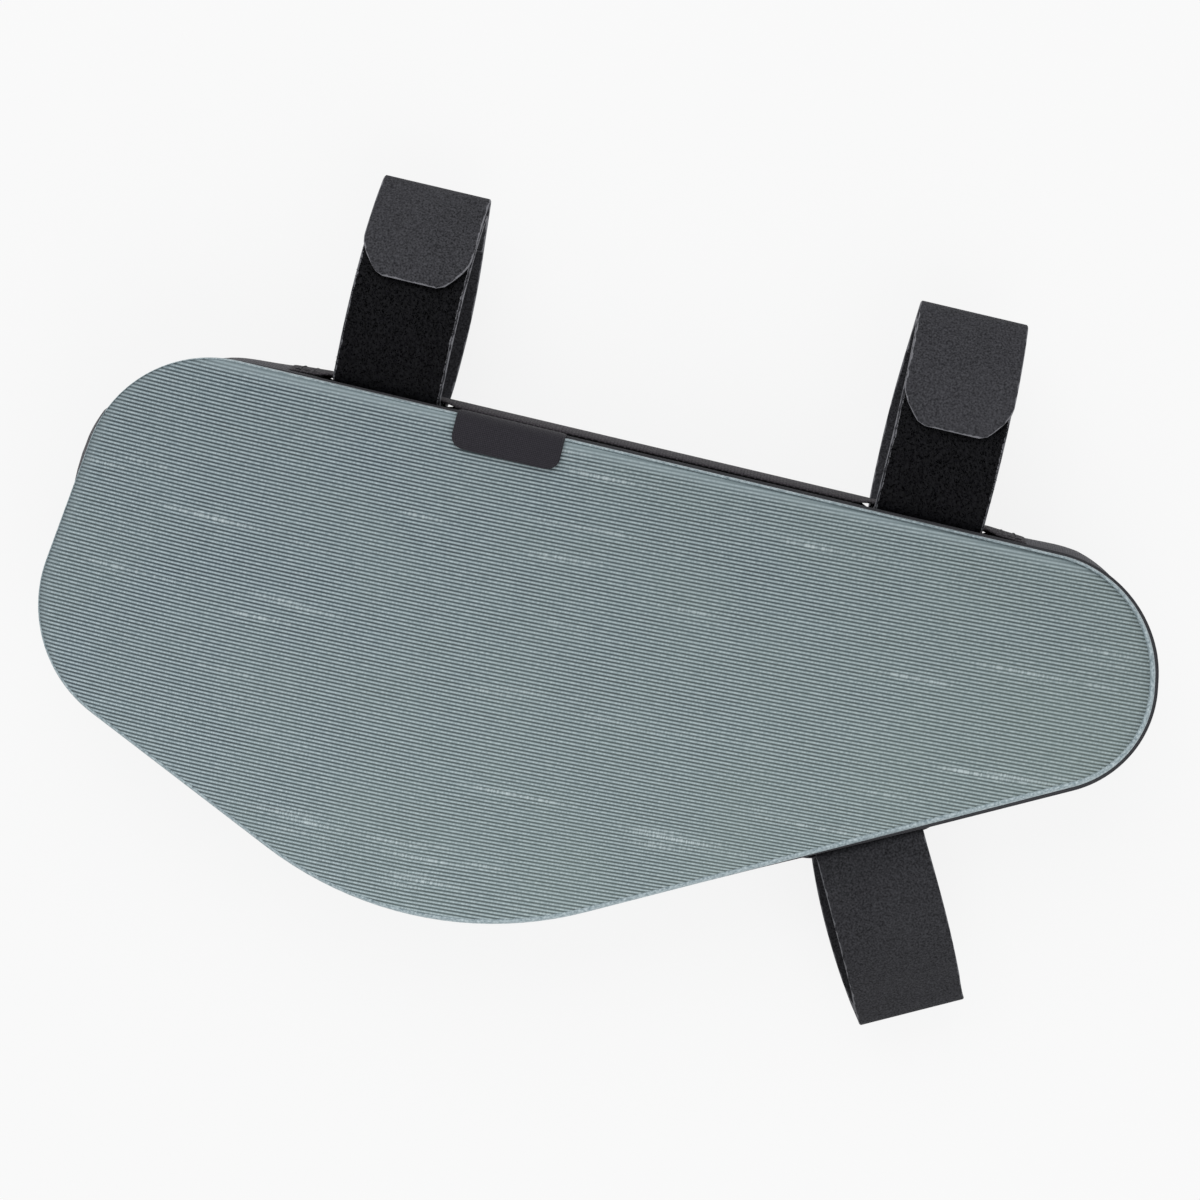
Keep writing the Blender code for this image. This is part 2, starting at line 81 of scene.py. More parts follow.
# %% Measures of the case
# x, y and radius of each corner of the outline, counterclockwise from the top left
CORNERS = (
    (-0.14190, 0.06610, 0.03468),
    (-0.15390, -0.02516, 0.03631),
    (-0.02940, -0.08092, 0.10064),
    (0.15240, 0.01618, 0.02883),
    (0.14370, 0.06610, 0.03305),
)
TOP_LEFT, LOWER_LEFT, BOTTOM, LOWER_RIGHT, TOP_RIGHT = range(5)
SEAM_LOW = 0.009
SEAM_HIGH = 0.036
MIDDLE = (SEAM_LOW + SEAM_HIGH) / 2
THICKNESS = 0.045
PANEL_DEPTH = 0.0087
CLEARANCE = 0.0003
GUSSET_WIDTH = 0.027
GUSSET_WALL = 0.0015
GUSSET_BULGE = 0.0030
SEAM_TUCK = 0.0008

# %% [markdown]
# ## The outline
# One function walks round the outline and gives a fine ring of points, each with the direction
# that points out of the bag there. Every ring of the panels, gusset and rims is this one moved
# in or out along those directions, so that they all run parallel.


# %% Walk round the outline
def corner_arc(before, corner, after, radius, step):
    """The points and outward normals of one rounded corner."""
    into = (corner - before).normalized()
    turned = into.angle(after - corner)
    normal_in = Vector((into.y, -into.x))
    centre = corner - into * radius * math.tan(turned / 2) - normal_in * radius
    first = math.atan2(normal_in.y, normal_in.x)
    count = max(4, round(turned / step))
    arc = []
    for i in range(count + 1):
        angle = first + turned * i / count
        normal = Vector((math.cos(angle), math.sin(angle)))
        arc.append((centre + normal * radius, normal))
    return arc


def walk_outline(arc_step=math.radians(2.5), straight_step=0.0025):
    """The outline's points and outward normals, as two arrays."""
    corners = [Vector(corner[:2]) for corner in CORNERS]
    count = len(corners)
    arcs = [
        corner_arc(corners[i - 1], corners[i], corners[(i + 1) % count], CORNERS[i][2], arc_step)
        for i in range(count)
    ]
    found = []
    for i, arc in enumerate(arcs):
        found += arc
        start, end = arc[-1], arcs[(i + 1) % count][0]
        pieces = max(1, round((end[0] - start[0]).length / straight_step))
        for k in range(1, pieces):
            found.append((start[0].lerp(end[0], k / pieces), start[1]))
    return np.array([p for p, n in found]), np.array([n for p, n in found])


def edge_place(start, end, share):
    """A place on a straight edge: its origin, the direction along it and the one out of it."""
    first, last = Vector(CORNERS[start][:2]), Vector(CORNERS[end][:2])
    along = (last - first).normalized()
    out = Vector((along.y, -along.x)) if start == BOTTOM else Vector((-along.y, along.x))
    return first.lerp(last, share), along, out


rim_points, rim_normals = walk_outline()
rim_steps = np.linalg.norm(np.roll(rim_points, -1, axis=0) - rim_points, axis=1)
print("stations:", len(rim_points), "round:", round(float(rim_steps.sum()), 4))

# %% [markdown]
# ## Turning grids of points into pieces
# Nearly every piece here is a grid of points: rings round the case, or rows along a strap. Three
# helpers build them: one makes the mesh with a UV map in real lengths, so that weaves follow the
# cloth, one closes rings into a shell, and one gives a sheet its thickness with rounded edges.


# %% Helpers for meshes
def add_piece(name, points, faces, uvs, material):
    """A smooth-shaded mesh object. uvs has one pair for each corner of each face, in order."""
    mesh = bpy.data.meshes.new(name)
    mesh.from_pydata(np.asarray(points, float).tolist(), [], faces)
    layer = mesh.uv_layers.new(name="cloth")
    layer.data.foreach_set("uv", np.asarray(uvs, np.float32).ravel())
    mesh.shade_smooth()
    mesh.materials.append(material)
    piece = bpy.data.objects.new(name, mesh)
    bpy.context.scene.collection.objects.link(piece)
    return piece


def arc_lengths(path):
    """How far along a path each of its points is."""
    path = np.asarray(path, float)
    steps = np.linalg.norm(np.diff(path, axis=0), axis=1)
    return np.concatenate(([0.0], np.cumsum(steps)))


def at_arcs(path, lengths, arcs):
    """The points at given distances along a path."""
    path = np.asarray(path, float)
    return np.stack([np.interp(arcs, lengths, path[:, k]) for k in range(path.shape[1])], axis=1)


def ring_piece(name, rings, material, closed_section=False, poles=(), flat_from=None):
    """Rings of equal count joined into a shell. closed_section joins the last ring to the first.

    From the row flat_from on, the UV map is laid flat by x and y instead of round the rings.
    """
    rings = np.asarray(rings, float)
    rows, count = rings.shape[:2]
    around = np.concatenate((rings[0], rings[0][:1]))
    round_arcs = arc_lengths(around)
    across = arc_lengths(rings[:, 0])
    across = np.append(across, across[-1] + 0.001)
    points = rings.reshape(-1, 3)
    faces = []
    uvs = []
    for row in range(rows if closed_section else rows - 1):
        following = (row + 1) % rows
        for i in range(count):
            j = (i + 1) % count
            faces.append((row * count + i, row * count + j, following * count + j,
                          following * count + i))
            uvs += [(round_arcs[i], across[row]), (round_arcs[i + 1], across[row]),
                    (round_arcs[i + 1], across[row + 1]), (round_arcs[i], across[row + 1])]
    for pole, row in zip(poles, (0, rows - 1)):
        tip = len(points)
        points = np.vstack((points, [pole]))
        for i in range(count):
            j = (i + 1) % count
            edge = (j, i) if row == 0 else (i, j)
            faces.append((row * count + edge[0], row * count + edge[1], tip))
            uvs += [(round_arcs[i], 0.0), (round_arcs[i + 1], 0.0), (round_arcs[i], 0.01)]
    if flat_from is not None:
        corners = [vertex for face in faces for vertex in face]
        lying = 4 * count * flat_from
        uvs[lying:] = [tuple(points[vertex][:2]) for vertex in corners[lying:]]
    return add_piece(name, points, faces, uvs, material)


def sheet_piece(name, grid, wall, material, edge_round=0.5, thinning=None):
    """A closed sheet of cloth round a grid of middle points, thinner at its rounded edges."""
    grid = np.asarray(grid, float)
    rows, columns = grid.shape[:2]
    along = np.gradient(grid, axis=0)
    across = np.gradient(grid, axis=1)
    normals = np.cross(along, across)
    normals /= np.linalg.norm(normals, axis=2, keepdims=True) + 1e-12
    long_arcs = arc_lengths(grid[:, columns // 2])
    width_arcs = arc_lengths(grid[rows // 2])
    from_side = np.minimum(width_arcs, width_arcs[-1] - width_arcs)
    from_end = np.minimum(long_arcs, long_arcs[-1] - long_arcs)
    from_edge = np.minimum(from_side[None, :], from_end[:, None])
    reach = wall * edge_round
    share = np.clip(1 - from_edge / reach, 0, 1)
    half = wall / 2 * np.sqrt(np.maximum(1 - share ** 2, 0.12))
    if thinning is not None:
        half = half * thinning[:, None]
    top = grid + normals * half[..., None]
    under = grid - normals * half[..., None]
    points = np.concatenate((top.reshape(-1, 3), under.reshape(-1, 3)))
    index = np.arange(rows * columns).reshape(rows, columns)
    quads = np.stack((index[:-1, :-1], index[1:, :-1], index[1:, 1:], index[:-1, 1:]), axis=2)
    quads = quads.reshape(-1, 4)
    size = rows * columns
    rim = [*index[:, 0], *index[-1, 1:], *index[:-1, -1][::-1], *index[0, 1:-1][::-1]]
    walls = [(b, a, a + size, b + size) for a, b in zip(rim, [*rim[1:], rim[0]])]
    faces = [*quads.tolist(), *(quads[:, ::-1] + size).tolist(), *walls]
    place = np.stack(np.meshgrid(long_arcs, width_arcs, indexing="ij"), axis=2).reshape(-1, 2)
    place = np.concatenate((place, place))
    uvs = place[np.array(faces).ravel()]
    piece = add_piece(name, points, [tuple(map(int, face)) for face in faces], uvs, material)
    measure = piece.data.attributes.new("from_edge", "FLOAT", "POINT")
    measure.data.foreach_set("value", np.tile(from_edge.ravel(), 2).astype(np.float32))
    return piece


# %% [markdown]
# ## Building materials from nodes
# A few short helpers keep the node trees readable. Colours are given as the eye names them, from
# 0 to 255, and turned into the linear values that the shader works in.


# %% Helpers for node trees
def colour(red, green, blue):
    """A linear colour from the 0 to 255 values that a picture shows."""
    def linear(value):
        value /= 255
        return value / 12.92 if value <= 0.04045 else ((value + 0.055) / 1.055) ** 2.4
    return (linear(red), linear(green), linear(blue), 1.0)


def add(tree, kind, inputs=None, **settings):
    """Adds a node; an input that is a socket is linked, and any other is set."""
    made = tree.nodes.new(kind)
    for key, value in settings.items():
        setattr(made, key, value)
    for key, value in (inputs or {}).items():
        if isinstance(value, bpy.types.NodeSocket):
            tree.links.new(value, made.inputs[key])
        else:
            made.inputs[key].default_value = value
    return made


def maths(tree, operation, a, b=0.0, clamp=False):
    """The result of one sum."""
    return add(tree, "ShaderNodeMath", {0: a, 1: b}, operation=operation, use_clamp=clamp).outputs[0]


def mixed(tree, share, a, b):
    """A colour between two others."""
    return add(tree, "ShaderNodeMix", {0: share, 6: a, 7: b}, data_type="RGBA").outputs[2]


def ranged(tree, value, low, high, to_low=0.0, to_high=1.0):
    """A value moved from one range to another, and kept inside it."""
    node = add(tree, "ShaderNodeMapRange", {0: value, 1: low, 2: high, 3: to_low, 4: to_high})
    return node.outputs[0]


def new_group(name, inputs, outputs):
    """An empty shader group with named sockets: (name, kind, default) for each input."""
    group = bpy.data.node_groups.new(name, "ShaderNodeTree")
    for label, kind, default in inputs:
        socket = group.interface.new_socket(name=label, in_out="INPUT", socket_type=kind)
        if default is not None:
            socket.default_value = default
    for label, kind in outputs:
        group.interface.new_socket(name=label, in_out="OUTPUT", socket_type=kind)
    return group, group.nodes.new("NodeGroupInput").outputs, group.nodes.new("NodeGroupOutput")


def place_group(tree, group, inputs=None):
    """A group placed in a tree, with its own values."""
    node = tree.nodes.new("ShaderNodeGroup")
    node.node_tree = group
    for key, value in (inputs or {}).items():
        if isinstance(value, bpy.types.NodeSocket):
            tree.links.new(value, node.inputs[key])
        else:
            node.inputs[key].default_value = value
    return node.outputs


def new_material(name, roughness):
    """A material with its tree and its shader."""
    made = bpy.data.materials.new(name)
    made.use_nodes = True
    shader = made.node_tree.nodes["Principled BSDF"]
    shader.inputs["Roughness"].default_value = roughness
    return made, made.node_tree, shader


# %% [markdown]
# ## Effects that several cloths share
# Three effects come back in most of the bag's materials, so each is a node group: a fine fibre
# grain, a plain weave of threads crossing over and under, and the pale, uneven line of a cut edge.

# %% The fibre grain
FLOAT, VECTOR, COLOUR = "NodeSocketFloat", "NodeSocketVector", "NodeSocketColor"

grain_group, given, made = new_group(
    "fibre_grain",
    [("Scale", FLOAT, 900.0), ("Depth", FLOAT, 0.3)],
    [("Speckle", FLOAT), ("Cloud", FLOAT), ("Normal", VECTOR)],
)
where = add(grain_group, "ShaderNodeTexCoord").outputs["Object"]
fine = add(grain_group, "ShaderNodeTexNoise", {"Vector": where, "Scale": given["Scale"], "Detail": 3.0})
broad = add(grain_group, "ShaderNodeTexNoise", {"Vector": where, "Scale": 38.0, "Detail": 4.0})
dents = add(grain_group, "ShaderNodeBump",
            {"Height": fine.outputs[0], "Strength": given["Depth"], "Distance": 0.0002})
grain_group.links.new(ranged(grain_group, fine.outputs[0], 0.3, 0.7), made.inputs["Speckle"])
grain_group.links.new(ranged(grain_group, broad.outputs[0], 0.3, 0.7), made.inputs["Cloud"])
grain_group.links.new(dents.outputs[0], made.inputs["Normal"])

# %% The plain weave
weave_group, given, made = new_group(
    "plain_weave",
    [("Place", VECTOR, None), ("Threads per metre", FLOAT, 1800.0)],
    [("Height", FLOAT), ("Gap", FLOAT)],
)
scaled = add(weave_group, "ShaderNodeVectorMath", {0: given["Place"]}, operation="SCALE")
weave_group.links.new(given["Threads per metre"], scaled.inputs["Scale"])
parts = add(weave_group, "ShaderNodeSeparateXYZ", {0: scaled.outputs[0]})
warp = maths(weave_group, "ABSOLUTE",
             maths(weave_group, "SINE", maths(weave_group, "MULTIPLY", parts.outputs[0], math.pi)))
weft = maths(weave_group, "ABSOLUTE",
             maths(weave_group, "SINE", maths(weave_group, "MULTIPLY", parts.outputs[1], math.pi)))
steps = maths(weave_group, "ADD", maths(weave_group, "FLOOR", parts.outputs[0]),
              maths(weave_group, "FLOOR", parts.outputs[1]))
over = maths(weave_group, "ABSOLUTE", maths(weave_group, "MODULO", steps, 2.0))
height = maths(weave_group, "ADD", maths(weave_group, "MULTIPLY", over, warp),
               maths(weave_group, "MULTIPLY", maths(weave_group, "SUBTRACT", 1.0, over), weft))
weave_group.links.new(height, made.inputs["Height"])
weave_group.links.new(ranged(weave_group, height, 0.0, 0.35, 1.0, 0.0), made.inputs["Gap"])

# %% The cut edge
edge_group, given, made = new_group(
    "cut_edge",
    [("From edge", FLOAT, 0.0), ("Width", FLOAT, 0.0005)],
    [("Edge", FLOAT)],
)
where = add(edge_group, "ShaderNodeTexCoord").outputs["Object"]
uneven = add(edge_group, "ShaderNodeTexNoise", {"Vector": where, "Scale": 420.0, "Detail": 4.0})
reach = maths(edge_group, "MULTIPLY", given["Width"],
              ranged(edge_group, uneven.outputs[0], 0.35, 0.68, 0.05, 1.6))
near = maths(edge_group, "DIVIDE", given["From edge"], reach)
edge_group.links.new(ranged(edge_group, near, 0.55, 1.0, 1.0, 0.0), made.inputs["Edge"])
print("shared groups:", [g.name for g in bpy.data.node_groups])

# %% [markdown]
# ## The ribbed cloth
# The front panel is a blue-grey cloth with a rib about every millimetre. Each rib is real relief
# in the mesh, and the UV map counts ribs, so the colour can be pale on a rib's back and darkened
# in the valley as painted shade. Small cross ticks and slubs, thicker bright lengths of yarn, break up
# the rows.

# %% Colours of the ribbed cloth
ribbed_cloth, tree, shader = new_material("ribbed_cloth", 0.75)
shader.inputs["Sheen Weight"].default_value = 0.1
shader.inputs["Sheen Roughness"].default_value = 0.5
shader.inputs["Specular IOR Level"].default_value = 0.25
place = add(tree, "ShaderNodeUVMap", uv_map="cloth").outputs[0]
parts = add(tree, "ShaderNodeSeparateXYZ", {0: place})
along, count = parts.outputs[0], parts.outputs[1]
crest = ranged(tree, maths(tree, "COSINE", maths(tree, "MULTIPLY", count, 2 * math.pi)), -0.9, 0.9)
rib_number = maths(tree, "ROUND", count)


def rib_noise(per_metre, offset, detail):
    """Noise that runs along each rib by itself, so it steps from rib to rib."""
    spot = add(tree, "ShaderNodeCombineXYZ", {
        0: maths(tree, "MULTIPLY", along, per_metre),
        1: maths(tree, "MULTIPLY", rib_number, 7.31),
        2: offset,
    })
    return add(tree, "ShaderNodeTexNoise",
               {"Vector": spot.outputs[0], "Scale": 1.0, "Detail": detail}).outputs[0]


ticks = rib_noise(1900.0, 0.0, 1.0)
tone = rib_noise(60.0, 4.0, 2.0)
slub_run = rib_noise(21.0, 9.0, 1.0)
patch_place = add(tree, "ShaderNodeMapping", {0: place, 3: (13.0, 0.11, 1.0)})
patches = add(tree, "ShaderNodeTexNoise",
              {"Vector": patch_place.outputs[0], "Scale": 1.0, "Detail": 2.0}).outputs[0]
slub = maths(tree, "MULTIPLY", ranged(tree, slub_run, 0.56, 0.68), ranged(tree, patches, 0.55, 0.63))
grain = place_group(tree, grain_group, {"Scale": 2600.0, "Depth": 0.25})
ridge = mixed(tree, ranged(tree, ticks, 0.3, 0.7), colour(146, 161, 167), colour(178, 192, 197))
# Painted shade: the valley colour is far darker than the ridge's and stands in for the shade between
# the ribs. Its noise varies the tone at random.
shaded_valley = mixed(tree, ranged(tree, tone, 0.3, 0.7), colour(38, 48, 55), colour(62, 75, 82))
ribs = mixed(tree, crest, shaded_valley, ridge)
ground = add(tree, "ShaderNodeSeparateXYZ", {0: add(tree, "ShaderNodeTexCoord").outputs["Object"]})
aged = ranged(tree, maths(tree, "SUBTRACT", ground.outputs[0], ground.outputs[1]), -0.12, 0.16)
cloudy = mixed(tree, maths(tree, "MULTIPLY", grain["Cloud"], 0.12), ribs, colour(138, 152, 142))
warmer = mixed(tree, maths(tree, "MULTIPLY", aged, 0.22), cloudy, colour(141, 154, 140))
bright = maths(tree, "MULTIPLY", slub, ranged(tree, ticks, 0.42, 0.62, 0.1, 0.55))
flecked = mixed(tree, bright, warmer, colour(204, 215, 217))
fibres = mixed(tree, maths(tree, "MULTIPLY", grain["Speckle"], 0.12), flecked, colour(96, 110, 116))
# Near the top edge the ribs are flattened, so the colour turns paler there, with less painted valley
# shade. At the left edge the same paler colour is a painted highlight along the rolled edge.
flat_rim_and_highlight = add(tree, "ShaderNodeAttribute", attribute_name="rolled").outputs["Fac"]
rolled = mixed(tree, maths(tree, "MULTIPLY", flat_rim_and_highlight, 0.62), fibres, colour(148, 162, 166))
# Painted light: the cloth is brightened towards its lower edge and darkened towards its top, as the
# light falls.
painted_light_ramp = ranged(tree, ground.outputs[1], 0.06, -0.07, 0.91, 1.08)
toned = add(tree, "ShaderNodeHueSaturation", {"Value": painted_light_ramp, "Color": rolled})
tree.links.new(toned.outputs[0], shader.inputs["Base Color"])
tree.links.new(grain["Normal"], shader.inputs["Normal"])

# %% [markdown]
# The rim is the same cloth rolled over the panel's edge. There it is stretched, so its ribs are
# nearly gone and it looks paler and smoother.

# %% Colours of the rolled rim
rim_cloth, tree, shader = new_material("rim_cloth", 0.7)
shader.inputs["Sheen Weight"].default_value = 0.12
shader.inputs["Specular IOR Level"].default_value = 0.3
place = add(tree, "ShaderNodeUVMap", uv_map="cloth").outputs[0]
grain = place_group(tree, grain_group, {"Scale": 1300.0, "Depth": 0.4})
weave = place_group(tree, weave_group, {"Place": place, "Threads per metre": 2400.0})
base = mixed(tree, grain["Speckle"], colour(112, 128, 134), colour(180, 193, 197))
tone = mixed(tree, maths(tree, "MULTIPLY", weave["Gap"], 0.3), base, colour(70, 82, 90))
tree.links.new(tone, shader.inputs["Base Color"])
tree.links.new(grain["Normal"], shader.inputs["Normal"])


# %% [markdown]
# ## The dark cloths
# Gusset and back panel are a charcoal plain weave. The webbing is a heavier, blacker tape, the
# straps are a smooth fine-grained cloth that shows pale where it was cut, and the label and the
# zip's tape are close satin weaves. One function makes all of the woven ones.


# %% Woven materials
def woven(name, dark, light, roughness, threads, depth, wear=0.2):
    """A woven cloth: two tones by thread height, fibre grain, and a paler cast where it is worn."""
    made, tree, shader = new_material(name, roughness)
    shader.inputs["Sheen Weight"].default_value = 0.08
    shader.inputs["Specular IOR Level"].default_value = 0.15
    place = add(tree, "ShaderNodeUVMap", uv_map="cloth").outputs[0]
    weave = place_group(tree, weave_group, {"Place": place, "Threads per metre": threads})
    grain = place_group(tree, grain_group, {"Scale": 1600.0, "Depth": 0.2})
    threads_tone = mixed(tree, ranged(tree, weave["Height"], 0.1, 0.9), dark, light)
    worn = mixed(tree, maths(tree, "MULTIPLY", grain["Cloud"], wear), threads_tone, light)
    speckled = mixed(tree, maths(tree, "MULTIPLY", grain["Speckle"], 0.3), worn, dark)
    bump = add(tree, "ShaderNodeBump", {"Height": weave["Height"], "Strength": depth,
                                        "Distance": 0.0002, "Normal": grain["Normal"]})
    tree.links.new(speckled, shader.inputs["Base Color"])
    tree.links.new(bump.outputs[0], shader.inputs["Normal"])
    return made


charcoal_cloth = woven("charcoal_cloth", colour(42, 42, 45), colour(86, 85, 90), 0.78, 1500.0, 0.6)
webbing_tape = woven("webbing_tape", colour(20, 18, 21), colour(62, 58, 63), 0.8, 1100.0, 0.6)
label_cloth = woven("label_cloth", colour(14, 13, 17), colour(50, 48, 54), 0.75, 2000.0, 0.5)
zip_tape = woven("zip_tape", colour(22, 22, 25), colour(58, 58, 62), 0.7, 2000.0, 0.5)
thread_black = woven("thread_black", colour(20, 20, 23), colour(66, 66, 70), 0.55, 3000.0, 0.3)

# %% The straps' cloth and the backing of the pile
def cut_cloth(name, dark, light, grain_scale, edge_tone, edge_width, edge_share):
    """A smooth, fine-grained cloth whose cut edge shows as a pale, uneven line."""
    made, tree, shader = new_material(name, 0.72)
    shader.inputs["Specular IOR Level"].default_value = 0.12
    grain = place_group(tree, grain_group, {"Scale": grain_scale, "Depth": 0.5})
    edge = add(tree, "ShaderNodeAttribute", attribute_name="from_edge").outputs["Fac"]
    cut = place_group(tree, edge_group, {"From edge": edge, "Width": edge_width})
    base = mixed(tree, grain["Speckle"], dark, light)
    cloudy = mixed(tree, maths(tree, "MULTIPLY", grain["Cloud"], 0.2), base, light)
    edged = mixed(tree, maths(tree, "MULTIPLY", cut["Edge"], edge_share), cloudy, edge_tone)
    # Painted light and shade: the cloth is brightened towards the top of the bag and darkened towards
    # its bottom, so the lower strap is darker than the upper ones.
    ground = add(tree, "ShaderNodeSeparateXYZ",
                 {0: add(tree, "ShaderNodeTexCoord").outputs["Object"]})
    painted_light_ramp = ranged(tree, ground.outputs[1], -0.06, 0.10, 0.70, 1.10)
    toned = add(tree, "ShaderNodeHueSaturation", {"Value": painted_light_ramp, "Color": edged})
    tree.links.new(toned.outputs[0], shader.inputs["Base Color"])
    tree.links.new(grain["Normal"], shader.inputs["Normal"])
    return made


strap_rubber = cut_cloth("strap_rubber", colour(14, 14, 17), colour(66, 66, 70), 1900.0,
                         colour(140, 140, 145), 0.00036, 0.6)
pile_backing = cut_cloth("pile_backing", colour(2, 2, 3), colour(20, 20, 23), 1500.0,
                         colour(125, 125, 130), 0.00030, 0.7)

# %% The pile and the hooks
pile_fabric, tree, shader = new_material("pile_fabric", 0.95)
shader.inputs["Specular IOR Level"].default_value = 0.0
grain = place_group(tree, grain_group, {"Scale": 800.0, "Depth": 0.8})
spots = maths(tree, "POWER", grain["Speckle"], 2.5)
base = mixed(tree, spots, colour(0, 0, 1), colour(38, 37, 42))
tree.links.new(base, shader.inputs["Base Color"])
tree.links.new(grain["Normal"], shader.inputs["Normal"])

hook_tape, tree, shader = new_material("hook_tape", 0.5)
grain = place_group(tree, grain_group, {"Scale": 1500.0, "Depth": 0.4})
base = mixed(tree, grain["Speckle"], colour(20, 20, 22), colour(52, 52, 56))
tree.links.new(base, shader.inputs["Base Color"])
tree.links.new(grain["Normal"], shader.inputs["Normal"])

# %% The zip's teeth and slider
zip_coil, tree, shader = new_material("zip_coil", 0.35)
grain = place_group(tree, grain_group, {"Scale": 1200.0, "Depth": 0.1})
base = mixed(tree, grain["Speckle"], colour(26, 26, 29), colour(44, 44, 48))
tree.links.new(base, shader.inputs["Base Color"])

zip_metal, tree, shader = new_material("zip_metal", 0.38)
shader.inputs["Metallic"].default_value = 0.9
grain = place_group(tree, grain_group, {"Scale": 700.0, "Depth": 0.15})
base = mixed(tree, grain["Speckle"], colour(70, 70, 74), colour(104, 104, 108))
tree.links.new(base, shader.inputs["Base Color"])
tree.links.new(grain["Normal"], shader.inputs["Normal"])
print("materials:", len(bpy.data.materials))

# %% [markdown]
# ## Rows of small things
# Stitches, zip teeth and the hairs of the pile repeat hundreds of times. Copying them in a loop
# would work, but Geometry Nodes place them by rule: along a line at an even pitch, or scattered
# over a surface from a fixed seed. The result is realised and baked to a plain mesh.


# %% Helpers for Geometry Nodes
GEOMETRY, MATERIAL, INTEGER = "NodeSocketGeometry", "NodeSocketMaterial", "NodeSocketInt"


def new_rule(name, inputs):
    """An empty geometry tree with named inputs: (name, kind, default)."""
    rule = bpy.data.node_groups.new(name, "GeometryNodeTree")
    rule.interface.new_socket(name="Geometry", in_out="INPUT", socket_type=GEOMETRY)
    for label, kind, default in inputs:
        socket = rule.interface.new_socket(name=label, in_out="INPUT", socket_type=kind)
        if default is not None:
            socket.default_value = default
    rule.interface.new_socket(name="Geometry", in_out="OUTPUT", socket_type=GEOMETRY)
    return rule, rule.nodes.new("NodeGroupInput").outputs, rule.nodes.new("NodeGroupOutput")


def end_rule(rule, instances, material, made):
    """Realises a rule's copies and gives them their material."""
    real = add(rule, "GeometryNodeRealizeInstances", {0: instances})
    smooth_shaded = add(rule, "GeometryNodeSetShadeSmooth", {0: real.outputs[0]})
    finished = add(rule, "GeometryNodeSetMaterial", {0: smooth_shaded.outputs[0], 2: material})
    rule.links.new(finished.outputs[0], made.inputs[0])


def bake_rule(name, source, rule, values):
    """A plain mesh piece made by a rule from a source object, which is used up."""
    modifier = source.modifiers.new("rule", "NODES")
    modifier.node_group = rule
    for item in rule.interface.items_tree:
        if item.in_out == "INPUT" and item.name in values:
            modifier[item.identifier] = values[item.name]
    evaluated = source.evaluated_get(bpy.context.evaluated_depsgraph_get())
    mesh = bpy.data.meshes.new_from_object(evaluated)
    source.modifiers.remove(modifier)
    bpy.data.objects.remove(source)
    mesh.name = name
    piece = bpy.data.objects.new(name, mesh)
    bpy.context.scene.collection.objects.link(piece)
    print(name, "has", len(mesh.polygons), "faces")
    return piece


def line_source(paths, closed=False):
    """An object of bare edges for a rule to follow."""
    points = []
    edges = []
    for path in paths:
        first = len(points)
        points += [tuple(point) for point in path]
        edges += [(first + k, first + k + 1) for k in range(len(path) - 1)]
        if closed:
            edges.append((len(points) - 1, first))
    mesh = bpy.data.meshes.new("lines")
    mesh.from_pydata(points, edges, [])
    source = bpy.data.objects.new("lines", mesh)
    bpy.context.scene.collection.objects.link(source)
    return source


# %% A rule for rows along a line
row_rule, given, made = new_rule("row_along_line", [
    ("Pitch", FLOAT, 0.003),
    ("Size", VECTOR, (0.0005, 0.0005, 0.002)),
    ("Up", VECTOR, (0.0, 0.0, 1.0)),
    ("Material", MATERIAL, None),
])
curve = add(row_rule, "GeometryNodeMeshToCurve", {0: given["Geometry"]})
spaced = add(row_rule, "GeometryNodeResampleCurve",
             {"Curve": curve.outputs[0], "Length": given["Pitch"]}, mode="LENGTH")
tangent = add(row_rule, "GeometryNodeInputTangent")
along_line = add(row_rule, "FunctionNodeAlignRotationToVector", {"Vector": tangent.outputs[0]},
                 axis="Z")
upright = add(row_rule, "FunctionNodeAlignRotationToVector",
              {"Rotation": along_line.outputs[0], "Vector": given["Up"]}, axis="Y", pivot_axis="Z")
bead = add(row_rule, "GeometryNodeMeshUVSphere", {"Segments": 6, "Rings": 4, "Radius": 0.5})
copies = add(row_rule, "GeometryNodeInstanceOnPoints", {
    "Points": spaced.outputs[0], "Instance": bead.outputs[0],
    "Rotation": upright.outputs[0], "Scale": given["Size"],
})
end_rule(row_rule, copies.outputs[0], given["Material"], made)

# %% A rule for hairs scattered over a surface
pile_rule, given, made = new_rule("scattered_hairs", [
    ("Density", FLOAT, 3.0e6),
    ("Seed", INTEGER, 1),
    ("Size", VECTOR, (0.0002, 0.0002, 0.0008)),
    ("Lean", FLOAT, 0.8),
    ("Material", MATERIAL, None),
])
spots = add(pile_rule, "GeometryNodeDistributePointsOnFaces", {
    "Mesh": given["Geometry"], "Density": given["Density"], "Seed": given["Seed"],
})
lean_low = add(pile_rule, "ShaderNodeCombineXYZ", {
    0: maths(pile_rule, "MULTIPLY", given["Lean"], -1.0),
    1: maths(pile_rule, "MULTIPLY", given["Lean"], -1.0),
    2: 0.0,
})
lean_high = add(pile_rule, "ShaderNodeCombineXYZ", {0: given["Lean"], 1: given["Lean"], 2: 6.28})
leaning = add(pile_rule, "FunctionNodeRandomValue", {
    0: lean_low.outputs[0], 1: lean_high.outputs[0], "Seed": 3,
}, data_type="FLOAT_VECTOR")
tilted = add(pile_rule, "FunctionNodeRotateRotation", {
    "Rotation": spots.outputs["Rotation"],
    "Rotate By": add(pile_rule, "FunctionNodeEulerToRotation", {0: leaning.outputs[0]}).outputs[0],
}, rotation_space="LOCAL")
growth = add(pile_rule, "FunctionNodeRandomValue", {2: 0.55, 3: 1.1, "Seed": 5}, data_type="FLOAT")
sized = add(pile_rule, "ShaderNodeVectorMath", {0: given["Size"]}, operation="SCALE")
